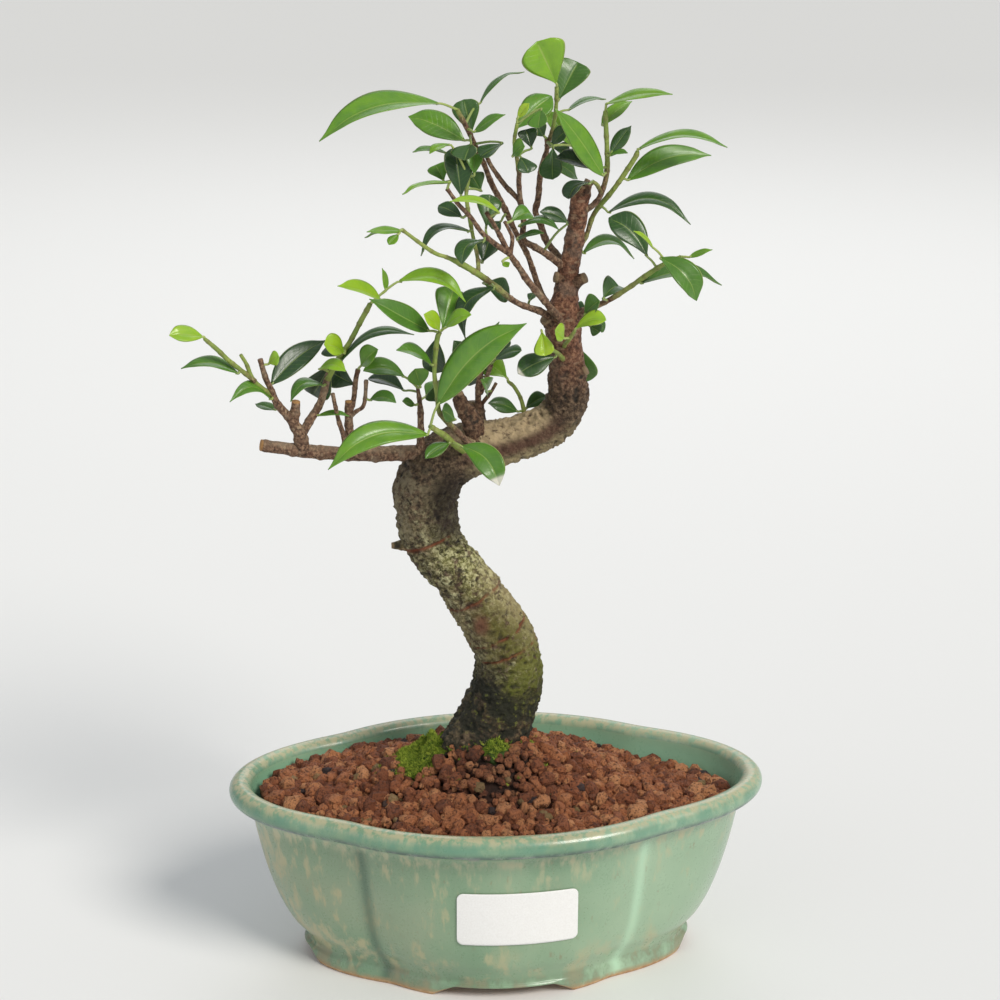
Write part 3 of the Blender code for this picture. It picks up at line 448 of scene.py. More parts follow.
def makeGlaze():
    g = Finish("celadonGlaze", IOR=1.5, Coat_Roughness=0.12)
    x, z = g.split("X"), g.split("Z")
    # runs in the glaze: noise squeezed across and drawn out downwards
    runs = g.noise(1, 5, 0.62, g.stretched((260, 260, 78)))
    blots = g.noise(1, 4, 0.62, g.stretched((105, 105, 60), (0.7, 0.2, 0.5)))
    cloud = g.noise(26, 3, 0.5)
    fine = g.noise(900, 2, 0.5)
    base = g.ramp(cloud, [(0.30, (0.160, 0.268, 0.160)), (0.50, (0.212, 0.335, 0.208)),
                          (0.72, (0.285, 0.405, 0.262))])
    pinkish = g.ease(g.noise(14, 3, 0.5, g.stretched((1, 1, 1), (0.31, 0.1, 0.2))), 0.52, 0.72)
    base = g.mix(pinkish * 0.40, base, (0.345, 0.385, 0.270))
    # painted light: the right end of the pot made paler mint, as if lit more strongly from the right
    base = g.mix(g.ease(x, 0.015, 0.075) * 0.42, base, (0.400, 0.540, 0.385))
    # beige breaks, strongest on the left and high on the wall
    left = g.ease(x, 0.045, -0.085)
    wallOnly = g.ease(z, 0.067, 0.062) * (1 - g.attribute("inside"))
    beige = g.ease(runs * 0.55 + blots * 0.45, 0.560 - 0.080 * left, 0.660 - 0.070 * left) * wallOnly
    base = g.mix(beige * (0.34 + 0.42 * left), base, (0.50, 0.45, 0.255))
    base = g.mix(left * wallOnly * g.ease(cloud, 0.35, 0.65) * 0.30, base, (0.250, 0.215, 0.125))
    brown = g.ease(g.noise(1, 5, 0.7, g.stretched((330, 330, 130), (0.3, 0.3, 0.1))), 0.60, 0.74)
    base = g.mix(brown * 0.42 * wallOnly, base, (0.23, 0.13, 0.065))
    # dark pool under the rim with lilac patches, then a pale beige line below it
    pool = g.ease(z, 0.0662, 0.0682) * g.ease(z, 0.0732, 0.0700)
    pool = pool * (1 - g.attribute("inside")) * g.ease(runs, 0.25, 0.55)
    base = g.mix(pool * 0.95, base, (0.028, 0.075, 0.070))
    lilac = g.ease(blots, 0.50, 0.60) * g.ease(z, 0.0650, 0.0668) * g.ease(z, 0.0722, 0.0690)
    base = g.mix(lilac * 0.75 * (1 - g.attribute("inside")), base, (0.290, 0.280, 0.290))
    paleLine = g.ease(z, 0.0600, 0.0632) * g.ease(z, 0.0668, 0.0652) * g.ease(runs, 0.42, 0.62)
    base = g.mix(paleLine * 0.75, base, (0.46, 0.46, 0.30))
    drips = g.ease(z, 0.046, 0.060) * g.ease(runs * 0.7 + blots * 0.3, 0.50, 0.60) * wallOnly
    base = g.mix(drips * 0.50, base, (0.46, 0.44, 0.27))
    low = g.ease(z, 0.030, 0.012) * g.ease(blots, 0.50, 0.62) * wallOnly
    base = g.mix(low * 0.50, base, (0.46, 0.42, 0.25))
    # rim crest: thin glaze breaks to beige and brown
    worn = g.noise(1, 4, 0.62, g.stretched((330, 330, 90)))
    crest = g.ease(z, 0.0738, 0.0772) * g.ease(worn, 0.40, 0.56)
    base = g.mix(crest * 0.66, base, (0.52, 0.44, 0.27))
    teal = g.ease(z, 0.0700, 0.0738) * g.ease(z, 0.0775, 0.0755) * (1 - g.attribute("inside"))
    base = g.mix(teal * 0.60 * g.ease(blots, 0.35, 0.6), base, (0.080, 0.240, 0.170))
    bright = g.attribute("inside") * g.ease(z, 0.080, 0.070)
    base = g.mix(bright * 0.55, base, (0.190, 0.430, 0.285))
    # grooves: painted shade in those on the left, painted highlight in pale mint in those on the right
    groove = g.attribute("groove") * wallOnly
    base = g.mix(groove * g.ease(x, 0.0, -0.03) * 0.80, base, (0.070, 0.135, 0.085))
    base = g.mix(groove * g.ease(x, 0.0, 0.03) * 0.80, base, (0.430, 0.640, 0.450))
    # foot: brownish where the glaze thins, bare clay at the very edge
    foot = g.ease(z, 0.0110, 0.0065) * g.ease(blots, 0.40, 0.60)
    base = g.mix(foot * 0.55, base, (0.115, 0.125, 0.080))
    thin = g.ease(z, 0.0036, 0.0020) * g.ease(runs, 0.30, 0.55)
    base = g.mix(thin * 0.6, base, (0.36, 0.24, 0.12))
    clayEdge = g.attribute("clay").most(g.ease(z, 0.0022, 0.0010))
    clayTone = g.ramp(g.noise(420, 4, 0.7), [(0.35, (0.40, 0.23, 0.11)), (0.65, (0.58, 0.38, 0.21))])
    base = g.mix(clayEdge, base, clayTone)
    speck = g.ease(g.cells(330), 0.10, 0.05) * g.ease(g.noise(60, 2), 0.55, 0.7)
    base = g.mix(speck * 0.5, base, (0.08, 0.07, 0.04))
    sheen = g.ease(runs * 0.5 + fine * 0.5, 0.30, 0.70, 0.24, 0.40)
    roughness = sheen + clayEdge * 0.45 + beige * 0.10
    height = fine * 0.10 + cloud * 0.9 + runs * 0.35 + g.noise(170, 4, 0.6) * 0.5
    return g.finish(height, 0.0006, 0.38, Base_Color=base, Roughness=roughness,
                    Coat_Weight=(1 - clayEdge) * 0.35)


makePot()
print("pot glazed")


soilSpec = {
    "edge": 0.0715, "crown": 0.0165, "middle": (-0.004, 0.002), "inset": 0.0122,
    "spacing": 0.0039, "grain": (0.0015, 0.0030), "layers": 3, "sink": 0.0018,
    "trunkRadius": 0.0150, "seed": 7, "heap": 0.0140, "heapAt": (-0.002, -0.011), "heapSpread": 0.021,
    "mossAt": ((-28, -1, 16, 13), (-2, -17, 5, 3.5)),
}


def soilHeight(x, y):
    # a low cosine mound that falls away to the wall, lower at the right end, with a bell-shaped
    # heap against the trunk
    dx, dy = x - soilSpec["middle"][0], y - soilSpec["middle"][1]
    reach = lobed(np.arctan2(dy, dx), 0.0125, 60)
    share = np.minimum(1, np.hypot(dx, dy) / reach)
    dip = 0.004 * np.clip((x - 0.02) / 0.07, 0, 1) + 0.003 * ease(x, 0.02, 0.07) * ease(y, -0.02, 0.02)
    heapX, heapY = soilSpec["heapAt"]
    heap = np.exp(-((x - heapX) ** 2 + (y - heapY) ** 2) / soilSpec["heapSpread"] ** 2)
    heap = soilSpec["heap"] * heap
    return soilSpec["edge"] + soilSpec["crown"] * (0.5 + 0.5 * np.cos(np.pi * share)) - dip + heap


def makeBed():
    # the packed soil under the loose grains: the mound carried in rings down to the floor
    angle = np.linspace(0, turn, 160, endpoint=False)[None]
    share = np.linspace(0.02, 1, 60)[:, None]
    r = lobed(angle, soilSpec["inset"] + 0.0006, 60) * share
    x, y = r * np.cos(angle), r * np.sin(angle)
    z = soilHeight(x, y) - soilSpec["sink"] + rough(np.stack([x, y, 0 * x], -1), 0.004, 5, 2) * 0.0004
    top = np.stack([x, y, z], axis=-1)
    walls = []
    for inset, height in ((0.0138, 0.064), (0.0158, 0.056), (0.0190, 0.037), (0.0236, 0.0240),
                          (0.0304, 0.0170), (0.0400, 0.0142), (0.0500, 0.0142)):
        r = lobed(angle[0], inset, 60, height)
        walls.append(np.stack([r * np.cos(angle[0]), r * np.sin(angle[0]), 0 * r + height], axis=-1))
    grid = capped(np.concatenate([top, np.stack(walls)]))
    rows, columns = grid.shape[:2]
    faces = np.concatenate([gridFaces(rows, columns), endFaces(rows, columns)])[:, ::-1]
    bed = putMesh("soilBed", grid.reshape(-1, 3) + potMiddle, faces, bedFinish())
    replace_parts(bed, "soil_bed")
    return bed


def ballPatch():
    # a cube of 2 x 2 panels a side, blown up to a ball: 26 points and 24 quads
    points, faces, seen = [], [], {}
    for axis in range(3):
        for side in (-1, 1):
            for i in range(2):
                for j in range(2):
                    quad = []
                    for a, b in ((i, j), (i + 1, j), (i + 1, j + 1), (i, j + 1)):
                        p = [0, 0, 0]
                        p[axis], p[(axis + 1) % 3], p[(axis + 2) % 3] = side, a - 1, b - 1
                        key = tuple(p)
                        if key not in seen:
                            seen[key] = len(points)
                            points.append(p)
                        quad.append(seen[key])
                    faces.append(quad if side > 0 else quad[::-1])
    return unit(np.array(points, dtype=float)), np.array(faces)


def grainPlaces(rng):
    # staggered rows shaken by about half their spacing, each layer a little higher
    places = []
    step = soilSpec["spacing"]
    for layer in range(soilSpec["layers"]):
        xs = np.arange(-0.1, 0.1, step) + rng.uniform(0, step)
        ys = np.arange(-0.056, 0.056, step * 0.87)
        x, y = np.meshgrid(xs, ys)
        x = x + (np.arange(len(ys)) % 2)[:, None] * step / 2
        p = np.stack([x.ravel(), y.ravel()], axis=1) + rng.normal(0, step * 0.27, (x.size, 2))
        z = soilHeight(p[:, 0], p[:, 1]) + (layer - 1.1) * 0.0014 + rng.uniform(-0.0007, 0.0009, len(p))
        places.append(np.column_stack([p, z]))
    p = np.concatenate(places)
    room = lobed(np.arctan2(p[:, 1], p[:, 0]), soilSpec["inset"] + 0.0022, 60)
    keep = (np.hypot(p[:, 0], p[:, 1]) < room)
    keep &= np.hypot(p[:, 0] + 0.003, p[:, 1] - 0.001) > soilSpec["trunkRadius"]
    for cx, cy, halfX, halfY in soilSpec["mossAt"]:
        keep &= np.hypot((p[:, 0] / mm - cx) / halfX, (p[:, 1] / mm - cy) / halfY) > 0.86
    return p[keep]


def makeGrains():
    # each grain is the blown-up cube, stretched, dented by noise, turned and set in place
    rng = np.random.default_rng(soilSpec["seed"])
    ball, faces = ballPatch()
    p = grainPlaces(rng)
    n = len(p)
    near = np.exp(-((p[:, 0] + 0.002) ** 2 + (p[:, 1] + 0.022) ** 2) / 0.016 ** 2)
    size = rng.uniform(*soilSpec["grain"], n) * rng.choice([1.0, 1.0, 0.66, 0.8, 1.4], n) * (1 - 0.3 * near)
    size *= 1 + 0.16 * ease(np.abs(p[:, 0]), 0.03, 0.09)
    stretch = rng.uniform(0.72, 1.22, (n, 1, 3))
    spin = rng.normal(size=(n, 4))
    w, a, b, c = (spin / np.linalg.norm(spin, axis=1, keepdims=True)).T
    turnBy = np.stack([1 - 2 * (b * b + c * c), 2 * (a * b - c * w), 2 * (a * c + b * w),
                       2 * (a * b + c * w), 1 - 2 * (a * a + c * c), 2 * (b * c - a * w),
                       2 * (a * c - b * w), 2 * (b * c + a * w), 1 - 2 * (a * a + b * b)],
                      axis=1).reshape(n, 3, 3)
    shape = ball[None] * (1 + rng.uniform(-0.20, 0.20, (n, len(ball), 1))) * stretch
    shape = np.einsum("nij,nkj->nki", turnBy, shape) * size[:, None, None]
    points = p[:, None, :] + shape
    allFaces = (faces[None] + (np.arange(n) * len(ball))[:, None, None]).reshape(-1, 4)
    tone = np.repeat(rng.uniform(0, 1, n), len(ball))
    dark = np.repeat(near, len(ball))
    kind = np.repeat(rng.uniform(0, 1, n), len(ball))
    # how far each corner lies under the top of the soil, 0 at the top and 1 at 2.4 mm down, used as painted
    # shade in the gaps between grains
    flat = points.reshape(-1, 3)
    buriedShade = np.clip((soilHeight(flat[:, 0], flat[:, 1]) + 0.0012 - flat[:, 2]) / 0.0024, 0, 1)
    grains = putMesh("lavaGrains", points.reshape(-1, 3) + potMiddle, allFaces, grainFinish(),
                     {"tone": tone, "damp": dark, "kind": kind, "buriedShade": buriedShade}, smooth=False)
    print("soil grains:", n)
    return grains


def bedFinish():
    s = Finish("packedSoilGapShade", Roughness=0.95)
    # near-black: the packed soil darkened as painted shade showing in the gaps between the grains
    tone = s.ramp(s.noise(240, 4, 0.6), [(0.3, (0.010, 0.004, 0.002)), (0.7, (0.045, 0.017, 0.009))])
    return s.finish(s.noise(500, 5, 0.7), 0.002, 1.0, Base_Color=tone)


def grainFinish():
    s = Finish("lavaGrain")
    tone, damp, kind = s.attribute("tone"), s.attribute("damp"), s.attribute("kind")
    base = s.ramp(tone, [(0.0, (0.180, 0.052, 0.018)), (0.35, (0.340, 0.108, 0.040)),
                         (0.7, (0.500, 0.180, 0.068)), (1.0, (0.66, 0.300, 0.130))])
    pores = s.noise(900, 5, 0.72)
    base = s.mix(s.ease(pores, 0.52, 0.36) * 0.88, base, (0.030, 0.010, 0.006))
    base = s.mix(s.ease(s.noise(420, 4, 0.6), 0.58, 0.74) * 0.45, base, (0.54, 0.230, 0.095))
    ochre = s.ease(kind, 0.978, 0.982)
    base = s.mix(ochre * 0.8, base, (0.27, 0.20, 0.085))
    coal = s.ease(kind, 0.014, 0.010)
    base = s.mix(coal * 0.9, base, (0.018, 0.020, 0.026))
    base = s.mix(damp * 0.42, base, (0.035, 0.016, 0.011))
    # painted shade: grain corners lying under the top of the soil darkened as if shadowed in the gaps
    base = s.mix(s.attribute("buriedShade") * 0.86, base, (0.024, 0.008, 0.005))
    return s.finish(pores * 0.8 + s.noise(2600, 3, 0.6) * 0.35, 0.0024, 1.0, Base_Color=base,
                    Roughness=s.ease(pores, 0.3, 0.7, 0.90, 0.52))


makeBed()
makeGrains()


trunkSpec = {
    # middle line and radius in millimetres from the middle of the pot at table height
    "line": [(-7, 0, 64, 13), (-7, 0, 76, 17), (-5.5, 0, 87, 18), (-3, 0, 94, 16.6),
             (0, 0, 102, 15), (3, 0, 112, 14), (5, -1, 122, 13.8), (4, -2, 132, 13),
             (0, -3, 142, 12.6), (-5, -4, 151, 11.8), (-11, -4, 161, 11),
             (-18, -4, 170, 10.6), (-24, -3, 178, 11), (-27, -2, 186, 11.8),
             (-28, -1, 195, 12), (-27, 0, 203, 12.6), (-22, 0, 211, 12),
             (-14, 0, 216.5, 10.6), (-4, 0, 219, 9.2), (7, 1, 221, 8.4),
             (18, 2, 225, 8.2), (25, 2, 230.5, 8.2), (28, 1, 238, 8),
             (28, 0, 245, 7.5), (27.5, -1, 252, 7), (26.5, -1, 260, 6.6),
             (26, -1, 267, 6.8), (26, -1, 273, 6.3), (27, 0, 280, 4.9),
             (28, 1, 289, 4), (29.5, 1, 297, 3.6), (31, 1, 307, 3.6),
             (32, 0, 317, 3.7), (33, 0, 323, 3.6)],
    "rows": 660, "around": 140, "bark": 0.00125, "lumps": 0.065,
    "rings": ((181.5, -0.9, 1.0), (158.0, -0.2, 0.8), (142.5, 0.2, 1.0), (135.0, 0.5, 0.9)),
    "scar": (-7.0, -16.0, 149.0, 4.2),
}
snagLines = [[(-8, -3, 221, 5), (-10, -5, 231, 3.8), (-14, -6, 238, 3), (-15, -6, 243, 1.6)],
             [(-6, 5, 219, 5), (-8, 7, 228, 4.2), (-8, 8, 235, 3.4)],
             [(27, 0, 286, 3.2), (22.5, -1, 287, 1.8)],
             [(29, 0, 284, 2.8), (34.5, -2, 287, 2)],
             [(31, 0, 312, 2.4), (35, 0, 314.5, 2)],
             [(28, -4, 247, 3), (35, -6, 251, 1.8)],
             [(26, -1, 265, 3.8), (19, -4, 272, 3)],
             [(-27, -2, 179, 4), (-42, -3, 179, 1.2)],
             [(26, 0, 269, 3.4), (35, -2, 273.5, 1.8)],
             [(32, -1, 319, 2.6), (35.5, -2, 324.5, 1.8)]]


def trunkSurface():
    # a round section carried along the trunk's line; lumps, buttresses, scar rings and
    # bark relief are added to its radius
    line, length = smoothPath(np.array(trunkSpec["line"], dtype=float) * mm, trunkSpec["rows"])
    path, radius = line[:, :3], line[:, 3]
    ahead, across, beside = frames(path)
    angle = np.linspace(0, turn, trunkSpec["around"], endpoint=False)
    out = (across[:, None] * np.cos(angle)[None, :, None]
           + beside[:, None] * np.sin(angle)[None, :, None])
    run = np.linspace(0, length, len(path))[:, None]
    points = path[:, None] + out * radius[:, None, None]
    heading = np.arctan2(out[..., 1], out[..., 0])
    z = path[:, None, 2] / mm
    swell = 1 + trunkSpec["lumps"] * rough(points, 0.013, 21, 2)
    flare = ease(-z, -101, -84)
    swell = swell + flare * (0.10 * np.cos(3 * heading + 0.6) + 0.05 * np.cos(5 * heading + 2.0)) * (
        0.55 - 0.45 * out[..., 0])
    level = np.abs(ahead[:, None, 0]) * ease(path[:, None, 0] / mm, -20, -4) * ease(-z, -240, -228)
    ridge = np.exp(-((heading + 1.45) / 0.16) ** 2)
    swell = swell - 0.05 * level * np.exp(-((out[..., 2] + 0.02) / 0.20) ** 2) * (out[..., 1] < 0)
    swell = swell + 0.05 * level * ridge
    rings = np.zeros_like(heading)
    for height, lean, share in trunkSpec["rings"]:
        centre = np.interp(height, z[:430, 0], run[:430, 0])
        wander = rough(np.stack([heading * 0.004, 0 * heading, 0 * heading + height], -1), 0.003, 31, 2)
        off = run - centre + wander * 0.0006
        broken = ease(rough(points, 0.0032, 33, 2), -0.75, 0.05)
        seen = ease(np.cos(heading + 1.57 - lean), -0.3, 0.35) * share * broken
        rings = np.maximum(rings, np.exp(-(off / 0.00062) ** 2) * seen)
        swell = swell + 0.020 * np.exp(-((off - 0.0022) / 0.0016) ** 2) * seen
    points = path[:, None] + out * (radius[:, None] * swell)[..., None]
    scarAt = np.array(trunkSpec["scar"][:3]) * mm
    scar = np.exp(-(np.linalg.norm((points - scarAt) * (1.25, 0.7, 0.9), axis=-1)
                    / (trunkSpec["scar"][3] * mm)) ** 4)
    # bark: plates about 4 mm across with 1 mm pits between, finer on the young top
    coarse = np.abs(rough(points * (1, 1, 1.25), 0.0042, 41, 3))
    pits = rough(points * (1, 1, 1.4), 0.0017, 51, 2)
    young = ease(z, 236, 262)
    relief = (0.55 - coarse) * 1.0 + 0.40 * pits
    relief = relief * (1 - 0.62 * young) * trunkSpec["bark"] * (1 + 0.5 * flare)
    relief = relief - rings * 0.00075 + scar * 0.0010
    hump = np.exp(-(((run / length * 34) % 1 - 0.5) / 0.16) ** 2) * young
    points = points + out * (relief + hump * 0.00028)[..., None]
    # pit: how far the bark lies below its plates, later darkened as painted shade in the hollows
    marks = {"pit": np.clip(0.56 - relief / trunkSpec["bark"] * 0.55, 0, 1), "ring": rings,
             "scar": scar, "young": young + 0 * heading, "right": out[..., 0],
             "up": out[..., 2], "front": -out[..., 1], "level": level + 0 * heading,
             "cut": np.zeros_like(heading)}
    marks["cut"][-3:] = 1
    return points, marks


def stack(parts):
    # joins (points, faces, marks) parts into one set
    points, faces, marks, start = [], [], {}, 0
    for p, f, m in parts:
        points.append(p.reshape(-1, 3))
        faces.append(f + start)
        for key, value in m.items():
            marks.setdefault(key, []).append(value.ravel())
        start += len(points[-1])
    return np.concatenate(points), np.concatenate(faces), {k: np.concatenate(v) for k, v in marks.items()}


def tubePart(points, marks):
    # closes a rows x columns tube and its marks
    grid = capped(points)
    rows, columns = grid.shape[:2]
    marks = {k: np.concatenate([v[:1], v, v[-1:]]) for k, v in marks.items()}
    faces = np.concatenate([gridFaces(rows, columns), endFaces(rows, columns)])
    return grid, faces, marks


def twig(line, columns, step, seed, node):
    # a round section along a smooth line, with a swelling at each bud scar
    raw = np.array(line, dtype=float) * mm
    length = np.linalg.norm(np.diff(raw[:, :3], axis=0), axis=1).sum()
    rows = int(np.clip(length / step, 8, 140))
    path, length = smoothPath(raw, rows)
    _, across, beside = frames(path[:, :3])
    angle = np.linspace(0, turn, columns, endpoint=False)
    out = (across[:, None] * np.cos(angle)[None, :, None]
           + beside[:, None] * np.sin(angle)[None, :, None])
    run = np.linspace(0, length, rows)[:, None]
    bud = np.exp(-(((run / node + seed * 0.37) % 1 - 0.5) / 0.09) ** 2)
    radius = path[:, 3][:, None] * (1 + 0.16 * bud)
    points = path[:, None, :3] + out * radius[..., None]
    points = points + out * (rough(points, 0.0028, 60 + seed, 2) * 0.09 * radius)[..., None]
    return points, out, run / length, bud + 0 * out[..., 0]


def makeTrunk():
    points, marks = trunkSurface()
    parts = [tubePart(points, marks)]
    for k, line in enumerate(snagLines):
        p, out, _, _ = twig(line, 20, 0.0006, k, 0.006)
        zero = np.zeros(p.shape[:2])
        pits = rough(p, 0.0022, 70 + k, 2)
        p = p + out * (pits * 0.00018)[..., None]
        cut = zero.copy()
        cut[-2:] = 1
        parts.append(tubePart(p, {"pit": np.clip(0.45 - pits * 0.5, 0, 1), "ring": zero, "scar": zero,
                                  "young": zero + 0.35, "right": out[..., 0], "up": out[..., 2],
                                  "front": -out[..., 1], "level": zero, "cut": cut}))
    points, faces, marks = stack(parts)
    trunk = putMesh("barkedTrunk", points + potMiddle, faces, barkFinish(), marks)
    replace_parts(trunk, "trunk")
    return trunk


def barkFinish():
    b = Finish("oldBark")
    z = b.split("Z") * 1000
    pit, right, up, front = (b.attribute(n) for n in ("pit", "right", "up", "front"))
    young, ring, scar, level, cut = (b.attribute(n) for n in ("young", "ring", "scar", "level", "cut"))
    patch = b.noise(95, 4, 0.6)
    grit = b.noise(620, 5, 0.7)
    fleck = b.noise(330, 4, 0.65, b.stretched((1, 1, 1), (0.37, 0.11, 0.05)))
    base = b.ramp(grit, [(0.36, (0.018, 0.010, 0.005)), (0.50, (0.078, 0.047, 0.025)),
                         (0.64, (0.200, 0.135, 0.078))])
    # grey-green lichen on the plates of the middle stretch; the lichen is real, but its heavier cover on
    # the side facing the key light is painted light
    middle = b.ease(z, 116, 132) * b.ease(z, 214, 168)
    keyLitSide = b.ease(right + up * 0.4 + patch * 1.3, 0.35, 1.05)
    lichen = b.ease(fleck + patch * 0.6 - pit * 0.30, 0.50, 0.68) * middle * (0.40 + 0.60 * keyLitSide)
    lichenTone = b.ramp(grit, [(0.38, (0.045, 0.046, 0.010)), (0.49, (0.270, 0.265, 0.085)),
                               (0.60, (0.62, 0.60, 0.32))])
    base = b.mix(lichen * 0.95, base, lichenTone)
    plates = b.ease(b.noise(150, 6, 0.74, b.stretched((1, 1, 1.4), (0.2, 0.5, 0.1))), 0.52, 0.62)
    base = b.mix(plates * middle * b.ease(grit, 0.40, 0.52) * 0.80, base, (0.66, 0.64, 0.36))
    cracks = b.ease(b.noise(250, 5, 0.75, b.stretched((1, 1, 1.5), (0.6, 0.2, 0.4))), 0.46, 0.40)
    base = b.mix(cracks * middle * 0.80, base, (0.022, 0.020, 0.008))
    # yellow-green algae low on the right
    algae = b.ease(z, 100, 120) * b.ease(z, 172, 146) * b.ease(right + patch * 0.9 - 0.45, -0.65, 0.20)
    base = b.mix(algae * b.ease(fleck, 0.32, 0.52) * 0.88, base, (0.120, 0.132, 0.010))
    base = b.mix(algae * b.ease(grit, 0.58, 0.75) * 0.7, base, (0.270, 0.285, 0.040))
    # the bend: dark brown with ash-grey plates on its left
    bend = b.ease(z + patch * 16, 184, 196) * b.ease(z, 218, 206)
    base = b.mix(bend * b.ease(right + patch * 0.7, 0.10, 0.75) * 0.80, base, (0.022, 0.012, 0.006))
    ash = b.ease(fleck + patch * 0.5, 0.68, 0.84) * bend * b.ease(right, 0.35, -0.55)
    base = b.mix(ash * 0.70, base, (0.24, 0.20, 0.12))
    # the level stretch: pale grey-beige above and below, red-brown along its front ridge
    top = b.ease(up, 0.00, 0.50) * b.ease(fleck, 0.30, 0.48)
    base = b.mix(level * top * 0.92, base, (0.52, 0.395, 0.230))
    under = b.ease(up, -0.05, -0.50) * b.ease(fleck, 0.34, 0.52)
    base = b.mix(level * under * 0.75, base, (0.42, 0.34, 0.180))
    ridge = b.ease(up.size(), 0.42, 0.10) * front.most(0.0)
    base = b.mix(level * ridge * 0.70, base, (0.105, 0.045, 0.026))
    # the young leader: smooth red-brown with pale lenticels across it
    skin = b.ramp(grit, [(0.36, (0.050, 0.017, 0.008)), (0.50, (0.185, 0.070, 0.035)),
                         (0.64, (0.37, 0.185, 0.100))])
    base = b.mix(young * 0.92, base, skin)
    dots = b.ease(b.cells(300, b.stretched((0.55, 0.55, 1.5))), 0.34, 0.22)
    base = b.mix(young * dots * 0.6, base, (0.40, 0.26, 0.155))
    grey = b.ease(patch + fleck * 0.4, 0.70, 0.85) * young
    base = b.mix(grey * 0.35, base, (0.20, 0.17, 0.13))
    # painted shade in the pits, nearly black at the foot, scars are rust red
    base = b.mix(b.ease(pit, 0.52, 0.90) * (1 - level * 0.65) * 0.88, base, (0.011, 0.009, 0.005))
    # painted shade: the near-black of the foot reaches higher up the trunk's left side, away from the key
    # light
    foot = b.ease(z, 128, 110) + b.ease(z, 146, 122) * b.ease(right, 0.3, -0.5) * 0.6
    base = b.mix(foot.least(1) * b.ease(patch + fleck, 1.32, 0.96) * 0.92, base, (0.008, 0.011, 0.003))
    sprout = b.ease(z, 96, 106) * b.ease(z, 140, 122) * b.ease(grit + fleck, 1.10, 1.22)
    base = b.mix(sprout * 0.75, base, (0.115, 0.135, 0.012))
    base = b.mix(ring * b.ease(grit, 0.30, 0.42) * 0.92, base, (0.230, 0.062, 0.022))
    base = b.mix(scar * b.ease(grit, 0.34, 0.50, 0.70, 0.95), base, (0.135, 0.052, 0.026))
    base = b.mix(cut * 0.7, base, (0.36, 0.25, 0.14))
    height = grit * 0.55 + fleck * 0.55 + b.noise(1700, 3, 0.6) * 0.2 - ring * 0.5
    return b.finish(height, 0.0022, 1.0, Base_Color=base,
                    Roughness=b.ease(grit, 0.3, 0.7, 0.92, 0.70) - young * 0.12)


makeTrunk()
print("trunk grown")
